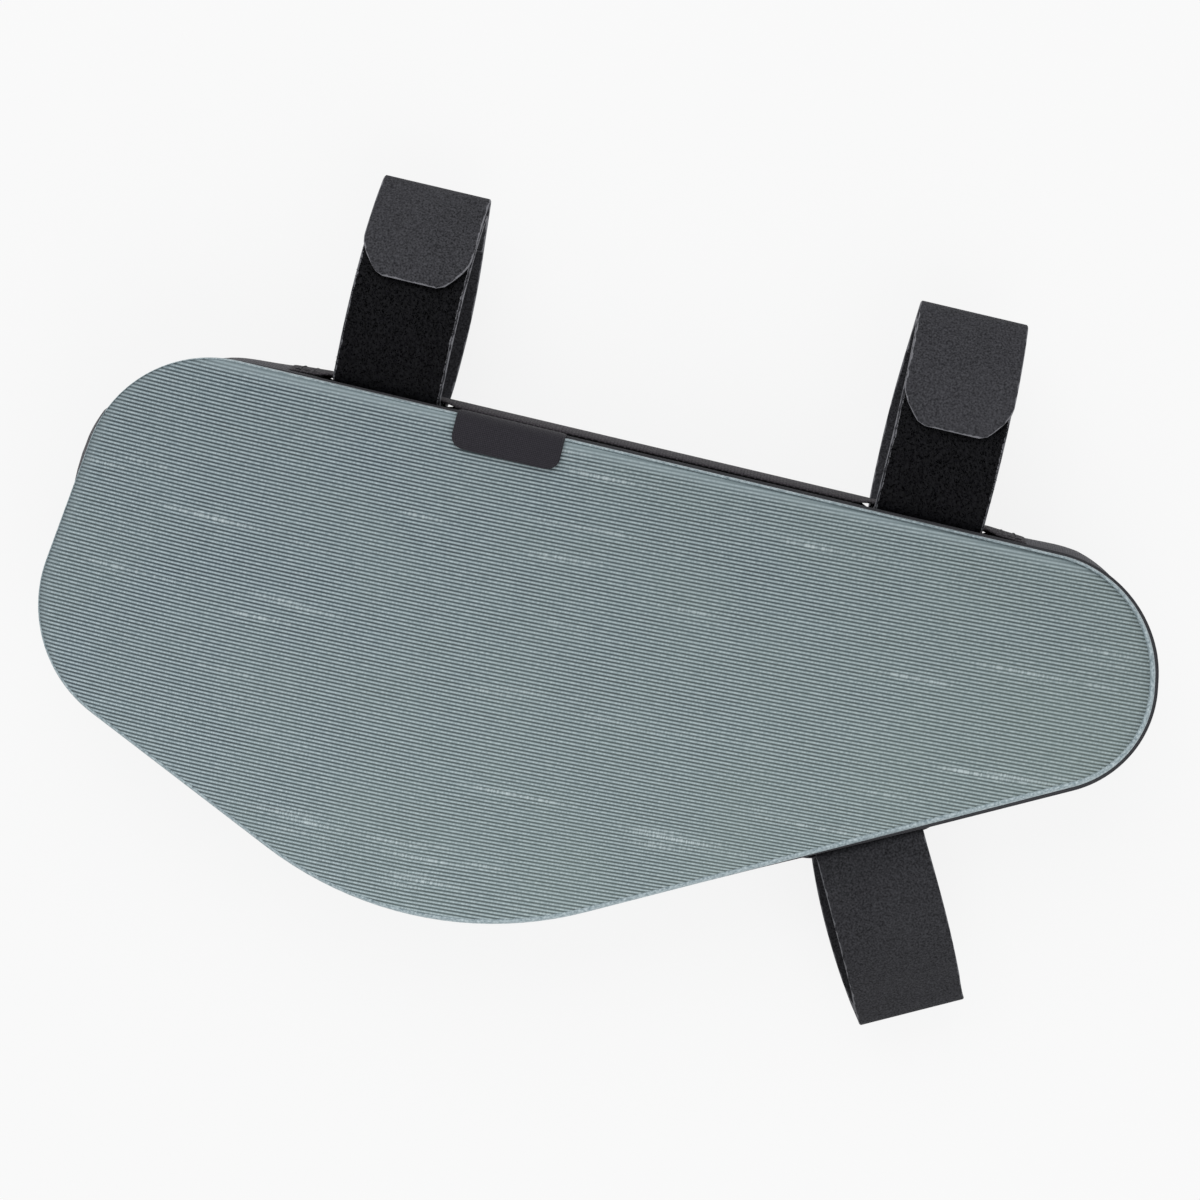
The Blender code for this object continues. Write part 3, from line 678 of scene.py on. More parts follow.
pile_rule.links.new(growth.outputs[1], sized.inputs["Scale"])
hair = add(pile_rule, "GeometryNodeMeshCone", {
    "Vertices": 4, "Side Segments": 2, "Radius Top": 0.25, "Radius Bottom": 0.5, "Depth": 1.0,
})
copies = add(pile_rule, "GeometryNodeInstanceOnPoints", {
    "Points": spots.outputs["Points"], "Instance": hair.outputs[0],
    "Rotation": tilted.outputs[0], "Scale": sized.outputs[0],
})
end_rule(pile_rule, copies.outputs[0], given["Material"], made)

# %% A rule that raises ribs
rib_rule, given, made = new_rule("raised_ribs", [
    ("Depth", FLOAT, 0.0003),
    ("Roundness", FLOAT, 0.8),
    ("Material", MATERIAL, None),
])
count = add(rib_rule, "GeometryNodeInputNamedAttribute", {"Name": "rib_count"}).outputs[0]
relief = add(rib_rule, "GeometryNodeInputNamedAttribute", {"Name": "relief"}).outputs[0]
wave = maths(rib_rule, "COSINE", maths(rib_rule, "MULTIPLY", count, 2 * math.pi))
crest = maths(rib_rule, "POWER", ranged(rib_rule, wave, -1.0, 1.0), given["Roundness"])
height = maths(rib_rule, "MULTIPLY", maths(rib_rule, "MULTIPLY", crest, given["Depth"]), relief)
raised = add(rib_rule, "GeometryNodeSetPosition", {
    "Geometry": given["Geometry"],
    "Offset": add(rib_rule, "ShaderNodeCombineXYZ", {2: height}).outputs[0],
})
end_rule(rib_rule, raised.outputs[0], given["Material"], made)
print("rules:", row_rule.name, pile_rule.name, rib_rule.name)

# %% [markdown]
# ## The front panel's section
# From its seam the panel stands up, rolls over its edge and then rises slightly to its middle,
# with a few soft dents. One smooth curve gives the height for a distance in from the edge.


# %% Height of the front panel
def smooth(points, steps=12):
    """A fine path through a few points (centripetal Catmull-Rom)."""
    points = [Vector(point) for point in points]
    posts = [2 * points[0] - points[1], *points, 2 * points[-1] - points[-2]]
    path = []
    for p0, p1, p2, p3 in zip(posts, posts[1:], posts[2:], posts[3:]):
        t1 = math.sqrt((p1 - p0).length)
        t2 = t1 + math.sqrt((p2 - p1).length)
        t3 = t2 + math.sqrt((p3 - p2).length)
        for k in range(steps):
            t = t1 + (t2 - t1) * k / steps
            a1 = p0.lerp(p1, t / t1)
            a2 = p1.lerp(p2, (t - t1) / (t2 - t1))
            a3 = p2.lerp(p3, (t - t2) / (t3 - t2))
            b1 = a1.lerp(a2, t / t2)
            b2 = a2.lerp(a3, (t - t1) / (t3 - t1))
            path.append(b1.lerp(b2, (t - t1) / (t2 - t1)))
    path.append(points[-1].copy())
    return path


# How far in from the edge, and how much of the panel's depth is reached there
FRONT_PROFILE = (
    (0.0, 0.44), (0.0005, 0.61), (0.0015, 0.73), (0.003, 0.785), (0.008, 0.83), (0.018, 0.885),
    (0.030, 0.945), (0.045, 0.98), (0.070, 1.0), (0.090, 1.0),
)
# Middle x and y, half length and half height of each dent, and its depth
DENTS = (
    (-0.081, -0.0258, 0.021, 0.0150, 0.0009),
    (-0.027, -0.0517, 0.033, 0.0136, 0.0011),
    (0.048, -0.0109, 0.036, 0.0163, 0.0005),
)
WAVE_DEPTH = 0.00012

profile_path = np.array([(x * 1000, y * PANEL_DEPTH * 1000) for x, y in FRONT_PROFILE])
profile_path = np.array([tuple(p) for p in smooth(profile_path)]) / 1000


def distance_inside(points):
    """How far in from the outline each point is."""
    nearest = np.full(len(points), 1.0)
    ends = np.roll(rim_points, -1, axis=0)
    for start, end in zip(rim_points, ends):
        run = end - start
        share = np.clip((points - start) @ run / (run @ run), 0, 1)
        gaps = points - start - share[:, None] * run
        nearest = np.minimum(nearest, np.hypot(gaps[:, 0], gaps[:, 1]))
    return nearest


def front_height(points, inside):
    """The front panel's height over each point."""
    height = SEAM_HIGH + CLEARANCE + np.interp(inside, profile_path[:, 0], profile_path[:, 1])
    for x, y, half_length, half_height, depth in DENTS:
        across = (points[:, 0] - x) / half_length
        upward = (points[:, 1] - y) / half_height
        height -= depth * np.exp(-across ** 2 - upward ** 2)
    waves = np.array([noise.noise(Vector((x * 45, y * 70, 3.7))) for x, y in points])
    return height + WAVE_DEPTH * waves * np.clip(inside / 0.01, 0, 1)


print("profile points:", len(profile_path))

# %% [markdown]
# The panel is padded, so its cloth is under a little tension that no formula gives. A coarse copy
# of the pad is blown up by Blender's cloth simulation with its rim held, and the way its top
# moves is added to the height. The ribs are too fine for that mesh and come after it.


# %% Let the padding swell
PAD_GRID = 0.003
PAD_VOXEL = 0.0045
PAD_PRESSURE = 4.0
PAD_FRAMES = 20
PAD_CAP = 0.0007
pad_x = np.arange(-0.162, 0.163, PAD_GRID)
pad_y = np.arange(-0.090, 0.073, PAD_GRID)
pad_swell = np.zeros((len(pad_x), len(pad_y)))


def pad_mesh():
    """A closed, coarse pad in the panel's shape."""
    middle = np.array((-0.009, 0.0068))
    rings = []
    for scale in np.linspace(1.0, 0.05, 24):
        plan = middle + (rim_points - middle) * scale
        height = front_height(plan, distance_inside(plan) + 0.0008)
        rings.append(np.column_stack((plan, height)))
    tops = [*middle, float(rings[-1][:, 2].mean())]
    floor_ring = np.column_stack((rim_points, np.full(len(rim_points), SEAM_HIGH)))
    return ring_piece("pad", [floor_ring, *rings], ribbed_cloth, poles=[(*middle, SEAM_HIGH), tops])


def simulate_pad():
    """Where the pad's top points are, and how far the filling has moved each one up."""
    pad = pad_mesh()
    remesh = pad.modifiers.new("even", "REMESH")
    remesh.mode = "VOXEL"
    remesh.voxel_size = PAD_VOXEL
    even = bpy.data.meshes.new_from_object(pad.evaluated_get(bpy.context.evaluated_depsgraph_get()))
    pad.modifiers.remove(remesh)
    pad.data = even
    start = np.array([v.co for v in even.vertices])
    held = pad.vertex_groups.new(name="held")
    rim = distance_inside(start[:, :2])
    held.add([k for k in range(len(start)) if rim[k] < 0.005 or start[k, 2] < SEAM_HIGH + 0.002],
             1.0, "REPLACE")
    cloth = pad.modifiers.new("filling", "CLOTH")
    cloth.settings.quality = 6
    cloth.settings.mass = 0.25
    cloth.settings.tension_stiffness = 12.0
    cloth.settings.compression_stiffness = 12.0
    cloth.settings.bending_stiffness = 0.6
    cloth.settings.vertex_group_mass = "held"
    cloth.settings.use_pressure = True
    cloth.settings.uniform_pressure_force = PAD_PRESSURE
    cloth.settings.effector_weights.gravity = 0.0
    cloth.point_cache.frame_start = 1
    cloth.point_cache.frame_end = PAD_FRAMES
    for frame_number in range(1, PAD_FRAMES + 1):
        bpy.context.scene.frame_set(frame_number)
    blown = pad.evaluated_get(bpy.context.evaluated_depsgraph_get()).to_mesh()
    end = np.array([v.co for v in blown.vertices])
    pad.modifiers.remove(cloth)
    bpy.data.objects.remove(pad)
    bpy.context.scene.frame_set(1)
    top = start[:, 2] > SEAM_HIGH + 0.003
    return start[top, :2], (end - start)[top, 2]


places, moves = simulate_pad()
print("the filling moves the cloth by up to", round(float(np.abs(moves).max()), 5))
moves = moves / max(np.abs(moves).max(), 1e-9) * PAD_CAP
for i, x in enumerate(pad_x):
    gaps = (places[:, 0] - x)[None, :] ** 2 + (places[:, 1][None, :] - pad_y[:, None]) ** 2
    weights = np.exp(-gaps / (2 * (1.1 * PAD_VOXEL) ** 2))
    pad_swell[i] = (weights @ moves) / (weights.sum(axis=1) + 1e-6)
pad_swell -= PAD_CAP / 2


def swell_at(points):
    """How far the filling has raised the panel over each point."""
    across = np.clip((points[:, 0] - pad_x[0]) / PAD_GRID, 0, len(pad_x) - 1.001)
    upward = np.clip((points[:, 1] - pad_y[0]) / PAD_GRID, 0, len(pad_y) - 1.001)
    i, j = across.astype(int), upward.astype(int)
    u, v = across - i, upward - j
    low = pad_swell[i, j] * (1 - v) + pad_swell[i, j + 1] * v
    high = pad_swell[i + 1, j] * (1 - v) + pad_swell[i + 1, j + 1] * v
    return low * (1 - u) + high * u

# %% [markdown]
# ## The ribbed face
# The ribs run along the top edge at the left and rise away from it, one or two degrees, to the
# right. A displacement texture could draw them, but relief this fine would need a mesh just as
# fine everywhere. Here the mesh's own rows follow the ribs, six rows to a rib, so each rib is
# real and sharp while the columns can stay three millimetres apart.


# %% Lay the rows along the ribs
RIB_PITCH = 0.00101
RIB_DEPTH = 0.00032
ROWS_PER_RIB = 6
COLUMNS = 84
GROOVE_NEAREST = 0.0003
GROOVE_FARTHEST = 0.0016
ROLL_WIDTH = 0.0030


# x in metres, and how steeply the ribs rise there against the top edge
RIB_SLOPES = np.array((
    (-0.125, -0.021), (-0.09, 0.007), (-0.06, 0.012), (-0.03, 0.026), (0.0, 0.031),
    (0.035, 0.036), (0.066, 0.040), (0.1, 0.044), (0.13, 0.047),
))
rise_x = np.linspace(-0.16, 0.16, 65)
slope_there = np.interp(rise_x, RIB_SLOPES[:, 0], RIB_SLOPES[:, 1])
steps = (slope_there[1:] + slope_there[:-1]) / 2 * np.diff(rise_x)
rises = np.concatenate(([0.0], np.cumsum(steps)))


def rib_rise(x, value):
    """How far a rib has risen at x; the lower ribs fan closer together towards the right."""
    low = np.clip((-0.012 - value) / 0.048, 0, 1)
    fan = 0.036 * np.clip(x + 0.035, 0, 1) * low ** 2 * (3 - 2 * low)
    return np.interp(x, rise_x, rises) + fan


def rib_value(points):
    """Which rib, as a height at the left end, runs through each point."""
    value = points[:, 1].copy()
    for step in range(12):
        value = points[:, 1] - rib_rise(points[:, 0], value)
    return value


# The groove lies close to the edge at the top left and wider at the lower right.
facing = 0.5 + 0.5 * (rim_normals @ np.array((0.8, -0.6)))
groove = GROOVE_NEAREST + (GROOVE_FARTHEST - GROOVE_NEAREST) * facing
face_edge = rim_points - rim_normals * groove[:, None]
rib_values = rib_value(face_edge)
lowest, highest = int(np.argmin(rib_values)), int(np.argmax(rib_values))
turned_edge = np.roll(face_edge, -lowest, axis=0)
turned_values = np.roll(rib_values, -lowest)
top_index = (highest - lowest) % len(face_edge)
right_chain = (turned_values[: top_index + 1], turned_edge[: top_index + 1, 0])
left_chain = (turned_values[top_index:][::-1], turned_edge[top_index:, 0][::-1])
left_chain = tuple(np.concatenate((start, rest)) for start, rest in
                   zip(((turned_values[0],), (turned_edge[0, 0],)), left_chain))

row_step = RIB_PITCH / ROWS_PER_RIB
low_value, high_value = float(rib_values.min()), float(rib_values.max())
row_values = np.arange(low_value + row_step * 0.3, high_value - row_step * 0.1, row_step)
left_ends = np.interp(row_values, *left_chain)
right_ends = np.interp(row_values, *right_chain)
shares = np.linspace(0, 1, COLUMNS)
face_x = left_ends[:, None] + (right_ends - left_ends)[:, None] * shares
face_y = row_values[:, None] + rib_rise(face_x, row_values[:, None])
print("rows:", len(row_values), "triangles:", 2 * (len(row_values) - 1) * (COLUMNS - 1))

# %% Raise the ribs and close the face
face_plan = np.stack((face_x.ravel(), face_y.ravel()), axis=1)
inside = distance_inside(face_plan)
rib_count = np.repeat(row_values / RIB_PITCH, COLUMNS)
from_top = CORNERS[TOP_LEFT][1] - face_plan[:, 1]
towards_right = np.interp(face_plan @ np.array((0.8, -0.6)), (-0.14, 0.14), (0, 1))
from_groove = inside - GROOVE_NEAREST - (GROOVE_FARTHEST - GROOVE_NEAREST) * towards_right
# A band at the left edge where the ribs flatten and the colour is made paler as a painted highlight
# along the rolled edge.
left_edge_highlight_band = np.clip(1 - from_groove / 0.0015, 0, 1) * np.clip(1 - 1.6 * towards_right, 0, 1)
rolled = np.clip(1 - (from_top - 0.0012) / ROLL_WIDTH, 0, 1)
rolled = np.maximum(rolled, 0.6 * left_edge_highlight_band)
deeper = 0.0002 + 0.0006 * towards_right
tuck = deeper * np.clip(1 - from_groove / 0.0005, 0, 1) ** 2
swelling = swell_at(face_plan) * np.clip(inside / 0.008, 0, 1)
face_z = front_height(face_plan, inside) + swelling - RIB_DEPTH * 0.6 - tuck
# At the left the face meets the roll without a groove.
short_of_roll = np.clip(SEAM_HIGH + CLEARANCE + 0.0058 - face_z, 0, None)
face_z += short_of_roll * np.clip(1 - 1.6 * towards_right, 0, 1)
face_points = np.column_stack((face_plan, face_z))

index = np.arange(len(face_points)).reshape(len(row_values), COLUMNS)
quads = np.stack((index[:-1, :-1], index[:-1, 1:], index[1:, 1:], index[1:, :-1]), axis=2)
quads = quads.reshape(-1, 4)
border = [*index[0, :], *index[1:, -1], *index[-1, :-1][::-1], *index[1:-1, 0][::-1]]
under = face_points[border] - (0, 0, 0.0012)
size = len(face_points)
count = len(border)
middle = size + count
under_middle = under.mean(axis=0)
faces = quads.tolist()
for k in range(count):
    following = (k + 1) % count
    faces.append((int(border[following]), int(border[k]), size + k, size + following))
for k in range(count):
    faces.append((size + (k + 1) % count, size + k, middle))
all_points = np.vstack((face_points, under, [under_middle]))
plan_uv = np.column_stack((face_plan[:, 0], rib_count))
all_uv = np.vstack((plan_uv, plan_uv[border], [(0.0, 0.0)]))
corner_list = np.concatenate([np.asarray(face) for face in faces])
smooth_face = add_piece("smooth_face", all_points, faces, all_uv[corner_list], ribbed_cloth)
beneath = np.zeros(count + 1)
for label, values in (("rolled", np.concatenate((rolled, beneath))),
                      ("rib_count", np.concatenate((rib_count, beneath))),
                      ("relief", np.concatenate((1 - 0.85 * rolled, beneath)))):
    measure = smooth_face.data.attributes.new(label, "FLOAT", "POINT")
    measure.data.foreach_set("value", values.astype(np.float32))
front_face = bake_rule("front_ribbing", smooth_face, rib_rule,
                       {"Depth": RIB_DEPTH, "Roundness": 0.8, "Material": ribbed_cloth})
print("front face:", len(all_points), "points")

# %% [markdown]
# ## The rolled rim
# Round the face runs a thin pale roll, with a dark groove just inside it. It is one section
# carried round the outline: down into the groove, over the roll, and down the side to the seam.

# %% Sweep the front rim
front_base = SEAM_HIGH + CLEARANCE
# How far from the edge, as a share of the groove's own place, and the height above the seam
RIM_SECTION = (
    (1.55, 0.0046), (1.25, 0.0055), (1.05, 0.0060), (0.85, 0.00625), (0.6, 0.0061),
    (0.35, 0.0056), (0.15, 0.0050), (0.0, 0.0041), (0.0, 0.0033),
)
# The side below the roll, as inset in metres and height
RIM_SIDE = (
    (0.00005, 0.0022), (0.0003, 0.0011), (0.0007, 0.0003), (0.00095, 0.0), (0.0026, 0.0),
    (0.0030, 0.0012),
)
rim_rings = []
for share, rise in RIM_SECTION:
    plan = rim_points - rim_normals * (groove * share)[:, None]
    rim_rings.append(np.column_stack((plan, np.full(len(plan), front_base + rise))))
for inset, rise in RIM_SIDE:
    plan = rim_points - rim_normals * inset
    rim_rings.append(np.column_stack((plan, np.full(len(plan), front_base + rise))))
front_rim = ring_piece("front_rim", rim_rings[::-1], rim_cloth, closed_section=True)
print("front rim:", len(front_rim.data.polygons), "faces")

# %% [markdown]
# ## The back panel
# The back panel is the charcoal cloth over the same shape, and flat where the bag rests on it.
# Its rings run from the inside, over the rim and across the back to the middle.

# %% Lathe the back panel
BACK_SECTION = (
    (0.0030, 0.0), (0.00088, 0.0), (0.0004, 0.0010), (0.0, 0.0021), (0.0, 0.0038), (0.0005, 0.0053),
    (0.0015, 0.00635), (0.0030, 0.00687), (0.0055, 0.00712), (0.0080, 0.00722),
)
back_base = SEAM_LOW - CLEARANCE
back_middle = np.array((-0.009, 0.0068))
back_path = np.array([tuple(p) for p in smooth([(a * 1000, b * 1000) for a, b in BACK_SECTION[1:]], 4)])
back_path = back_path / 1000
rings = []
for inset, rise in [(0.02, 0.0), BACK_SECTION[0], *back_path]:
    plan = rim_points - rim_normals * inset
    rings.append(np.column_stack((plan, np.full(len(plan), back_base - rise))))
inner = rim_points - rim_normals * 0.008
for scale in np.linspace(0.97, 0.06, 22):
    plan = back_middle + (inner - back_middle) * scale
    rise = np.interp(1 - scale, (0.0, 0.1, 0.22, 1.0), (0.00722, 0.0082, 0.0087, 0.0087))
    rings.append(np.column_stack((plan, np.full(len(plan), back_base - rise))))
poles = [(*back_middle, back_base), (*back_middle, 0.0)]
rings = [ring[::-1] for ring in rings]
flat_from = 2 + int(np.argmax(back_path[:, 0] > 0.0028))
back_panel = ring_piece("back_panel_cloth", rings, charcoal_cloth, poles=poles,
                        flat_from=flat_from)
print("back panel:", len(back_panel.data.polygons), "faces")

# %% [markdown]
# ## The gusset
# The gusset is the band between the panels. It swells a little, less where a strap's foot presses
# it in, and soft wrinkles run across it where it turns the corners.

# %% How full the gusset is
STRAP_WIDTH = 0.030
PRESSED_IN = 0.50
# x and y of a place on the outline, and how full the gusset is there
GUSSET_FULLNESS = (
    (-0.098, 0.066, 1.1), (-0.108, 0.066, 0.85), (-0.116, 0.066, 0.62), (-0.125, 0.064, 0.27),
    (-0.1365, 0.057, 0.4), (-0.1425, 0.051, 0.6), (-0.1437, 0.047, 1.15), (-0.1446, 0.043, 1.58),
    (-0.1455, 0.0395, 1.76), (-0.1462, 0.036, 1.86), (-0.147, 0.032, 1.86), (-0.148, 0.027, 1.68),
    (-0.149, 0.022, 1.4), (-0.150, 0.016, 1.1), (-0.152, 0.008, 0.85), (-0.154, -0.01, 0.8),
    (-0.10, -0.047, 0.7),
    (0.0, -0.072, 0.7), (0.115, -0.005, 0.8), (0.148, 0.02, 1.0), (0.145, 0.045, 0.8),
    (0.135, 0.060, 0.9), (0.122, 0.066, 1.25), (0.10, 0.066, 1.1),
)
# Where a strap crosses the gusset: the edge and the share of its length
STRAP_PLACES = {
    "left": (TOP_LEFT, TOP_RIGHT, 0.247),
    "right": (TOP_LEFT, TOP_RIGHT, 0.776),
    "lower": (BOTTOM, LOWER_RIGHT, 0.624),
}
round_places = arc_lengths(rim_points)
whole_round = round_places[-1] + np.linalg.norm(rim_points[0] - rim_points[-1])


def round_place(x, y):
    """How far round the outline a place is."""
    return round_places[np.argmin(np.hypot(rim_points[:, 0] - x, rim_points[:, 1] - y))]


def along_outline(rows):
    """A value for every station, from rows of x, y and the value there."""
    pairs = sorted((round_place(x, y), value) for x, y, value in rows)
    places, values = zip(*pairs)
    return np.interp(round_places, places, values, period=whole_round)


def pressed_share(beside):
    """How far a strap's foot presses the gusset in, from the distance beside its middle."""
    share = np.clip(1 - (np.abs(beside) - STRAP_WIDTH / 2) / 0.0055, 0, 1)
    return share ** 2 * (3 - 2 * share)


unpressed = along_outline(GUSSET_FULLNESS)
fullness = unpressed
for place in STRAP_PLACES.values():
    origin, along, out = edge_place(*place)
    from_strap = rim_points - np.array(origin)
    beside = from_strap @ np.array(along)
    near = np.abs(from_strap @ np.array(out)) < 0.004
    dip = np.where(near, pressed_share(beside), 0)
    fullness = fullness * (1 - dip) + PRESSED_IN * dip
print("fullness from", fullness.min(), "to", fullness.max())


# %% Bend the gusset round
def bulge(from_middle, full=1.0):
    """How far the gusset stands out of the outline at a height above its middle."""
    share = np.clip(np.asarray(from_middle) / GUSSET_WIDTH + 0.5, 0, 1)
    return GUSSET_BULGE * np.sin(math.pi * share) ** 0.8 * full - SEAM_TUCK


gusset_heights = np.linspace(-GUSSET_WIDTH / 2, GUSSET_WIDTH / 2, 19)
rings = []
for from_middle in gusset_heights:
    out = bulge(from_middle, fullness)
    softness = math.cos(math.pi * from_middle / GUSSET_WIDTH)
    wrinkle = np.array([
        noise.noise(Vector((p[0] * 60, p[1] * 60, from_middle * 25))) for p in rim_points
    ])
    plan = rim_points + rim_normals * (out + 0.0004 * softness * (wrinkle - 0.4))[:, None]
    rings.append(np.column_stack((plan, np.full(len(plan), MIDDLE + from_middle))))
for from_middle in gusset_heights[::-2]:
    out = bulge(from_middle, fullness) - GUSSET_WALL
    plan = rim_points + rim_normals * out[:, None]
    rings.append(np.column_stack((plan, np.full(len(plan), MIDDLE + from_middle))))
gusset = ring_piece("gusset_cloth", rings, charcoal_cloth, closed_section=True)
print("gusset:", len(gusset.data.polygons), "faces")

# %% [markdown]
# Both seams are bound with a thin dark cord. In front it hides under the rolled rim at the left
# and creeps out from under it at the right. There it is a dark line put where the rim shades the seam:
# painted shade.

# %% Bind the seams
BINDING_RADIUS = 0.00045
BINDING_ROOT = -0.0006
# x and y of a place on the outline, and how far out of it the binding stands there
BINDING_OUT = (
    (-0.09, 0.066, 0.0002), (-0.13, 0.062, -0.0006), (-0.154, -0.01, -0.0002),
    (-0.05, -0.073, -0.0004), (0.06, -0.043, 0.0002), (0.10, -0.015, 0.0010),
    (0.152, 0.02, 0.0012), (0.146, 0.045, 0.0011), (0.12, 0.066, 0.0004),
)
binding_out = along_outline(BINDING_OUT)


def binding(name, middle_height, outs):
    """A thin flat cord round the outline at a height, rooted between gusset and panel."""
    turns = []
    for k in range(8):
        angle = 2 * math.pi * (k + 0.5) / 8
        side = outs if math.cos(angle) > 0 else np.minimum(outs, BINDING_ROOT)
        reach = side + BINDING_RADIUS * math.cos(angle)
        plan = rim_points + rim_normals * reach[:, None]
        height = middle_height + BINDING_RADIUS * math.sin(angle)
        turns.append(np.column_stack((plan, np.full(len(plan), height))))
    return ring_piece(name, turns, thread_black, closed_section=True)


# Where the front cord stands out at the right, its dark colour is painted shade under the rim.
front_seam_shade_cord = binding("front_seam_shade_cord", SEAM_HIGH + CLEARANCE + 0.0004, binding_out)
back_binding = binding("back_binding", SEAM_LOW - CLEARANCE - 0.0002, np.full(len(rim_points), 0.0002))
print("bindings made")

# %% [markdown]
# ## The straps
# Each strap is one piece of cloth. It runs up from the webbing, over the frame tube and back
# down, and its tab presses on a pile patch. The path is drawn once, in the plane across the edge,
# and a strip is laid along it. Flat straps would be lost in a cloth simulation, so they are
# modelled directly.

# %% Measures of the straps
STRAP_WALL = 0.0012
PILE_WALL = 0.0008
HOOK_WALL = 0.0007
PATCH_MARGIN = 0.0005
WEBBING_WIDTH = 0.020
FOOT_TURN = 0.0024
FOLD_ALLOWANCE = 0.0035
FOOT_COVER = 9
SECOND_TAB_ROW = 0.0072
TAB_END_LENGTH = 0.008
TAB_END_CUT = 0.006
# How far back from the tab's end, and how much of the cut is left there
TAB_END_SHAPE = ((0.0, 0.04, 0.12, 0.3, 0.65, 1.0, 1.25), (1.25, 1.05, 0.88, 0.66, 0.3, 0.06, 0.0))
INNER_END = (0.70, 0.86)
# out as a share of the loop's height, over as a share of its depth
CLOSED_LEG = (
    (0.925, 0.56), (0.9, 0.625), (0.8, 0.745), (0.65, 0.86), (0.45, 0.93), (0.25, 0.935),
    (0.12, 0.9),
)
OPEN_LEG = (
    (0.12, 0.12), (0.25, 0.04), (0.42, 0.0), (0.58, 0.06), (0.72, 0.19), (0.85, 0.36),
    (0.96, 0.5), (1.0, 0.57), (0.985, 0.635),
)
BEHIND_UPPER = MIDDLE - CLEARANCE - STRAP_WALL / 2
BEHIND_LOWER = THICKNESS - 0.0045 - STRAP_WALL / 2 - MIDDLE
STRAPS = {
    "left": dict(edge=STRAP_PLACES["left"], height=0.0585, depth=0.039,
                 behind=BEHIND_UPPER, tab=0.0282, side=1, sway=0.0),
    "right": dict(edge=STRAP_PLACES["right"], height=0.0585, depth=0.039,
                  behind=BEHIND_UPPER, tab=0.0338, side=1, sway=0.0),
    "lower": dict(edge=STRAP_PLACES["lower"], height=0.0525, depth=0.036,
                  behind=BEHIND_LOWER, tab=0.028, side=-1, sway=-0.0021),
}


# %% Draw a strap's path
def moved_aside(path, distance):
    """A flat path moved to the left of its direction."""
    path = np.asarray(path, float)
    direction = np.gradient(path, axis=0)
    direction /= np.linalg.norm(direction, axis=1, keepdims=True)
    return path + np.column_stack((-direction[:, 1], direction[:, 0])) * distance


def leg(rows, strap):
    """A leg of the loop as (out, height above the middle) points."""
    return [Vector((out * strap["height"], over * strap["depth"] - strap["behind"]))
            for out, over in rows]


def foot():
    """The strap's stretch on the gusset, under the webbing."""
    half = WEBBING_WIDTH / 2
    rise = CLEARANCE + STRAP_WALL / 2
    flat = [Vector((float(bulge(row, PRESSED_IN)) + rise, row))
            for row in (half, half / 2, 0, -half / 2, -half)]
    edge = flat[0]
    turns = [Vector((edge.x + FOOT_TURN / 2, sign * (edge.y + FOOT_TURN))) for sign in (1, -1)]
    return [turns[0], *flat, turns[1]]


def strap_paths(strap):
    """The strap's whole path, and the leg that its closure is on."""
    closed, open_leg = leg(CLOSED_LEG, strap), leg(OPEN_LEG, strap)
    beside = moved_aside(smooth(open_leg), STRAP_WALL + CLEARANCE)
    lengths = arc_lengths(beside)
    ends = at_arcs(beside, lengths, np.array(INNER_END) * lengths[-1])
    knots = [*(Vector(end) for end in ends), *closed, *foot()]
    leg_path = np.array(smooth(knots)[24 : (len(closed) + 2) * 12 + 1 + FOOT_COVER])
    leg_lengths = arc_lengths(leg_path)
    outside = moved_aside(leg_path, -(STRAP_WALL + PILE_WALL + HOOK_WALL + 3 * CLEARANCE))
    tab_starts = at_arcs(outside, leg_lengths, [FOLD_ALLOWANCE, SECOND_TAB_ROW])
    path = smooth([*knots, *open_leg, *(Vector(p) for p in tab_starts)])
    path = np.array(path[: (len(knots) + len(open_leg)) * 12])
    tab = at_arcs(outside, leg_lengths, np.arange(FOLD_ALLOWANCE, strap["tab"], 0.0008))
    end = at_arcs(outside, leg_lengths, [strap["tab"]])
    return np.vstack((path, tab, end)), leg_path


def layer(leg_path, distance, start, end):
    """A layer of the closure that lies outside the leg, between two places along it."""
    moved = moved_aside(leg_path, -distance)
    count = max(2, round((end - start) / 0.0008))
    return at_arcs(moved, arc_lengths(leg_path), np.linspace(start, end, count + 1))


def strip(strap, path, half_width, cut_end=False):
    """The grid of a strip along a path: its end may narrow as the tab's does."""
    origin, along, out = edge_place(*strap["edge"])
    lengths = arc_lengths(path)
    arcs = np.linspace(0, lengths[-1], max(3, round(lengths[-1] / 0.0009)))
    fine = at_arcs(path, lengths, arcs)
    halves = np.full(len(arcs), half_width)
    if cut_end:
        back = (lengths[-1] - arcs) / TAB_END_LENGTH
        halves -= TAB_END_CUT * np.interp(back, *TAB_END_SHAPE)
    rims = np.array((0, 0.0003, 0.0007, 0.0012))
    inner = np.linspace(0.0025, 2 * half_width - 0.0025, 15)
    columns = np.concatenate((rims, inner, 2 * half_width - rims[::-1])) / half_width - 1
    sideways = halves[:, None] * columns[None, :]
    # The real loop hangs a little askew: its far leg leans to one side.
    over = (fine[:, 1] + strap["behind"]) / strap["depth"]
    reach = np.clip(fine[:, 0] / strap["height"], 0, 1)
    lean = np.clip((over - 0.35) / 0.4, 0, 1) * np.sin(math.pi * np.clip(reach, 0, 1)) ** 0.7
    sideways = sideways + strap["sway"] * lean[:, None]
    x = origin.x + along.x * sideways + out.x * fine[:, :1]
    y = origin.y + along.y * sideways + out.y * fine[:, :1]
    z = np.broadcast_to(MIDDLE + strap["side"] * fine[:, 1:2], x.shape)
    return np.stack((x, y, z), axis=2)


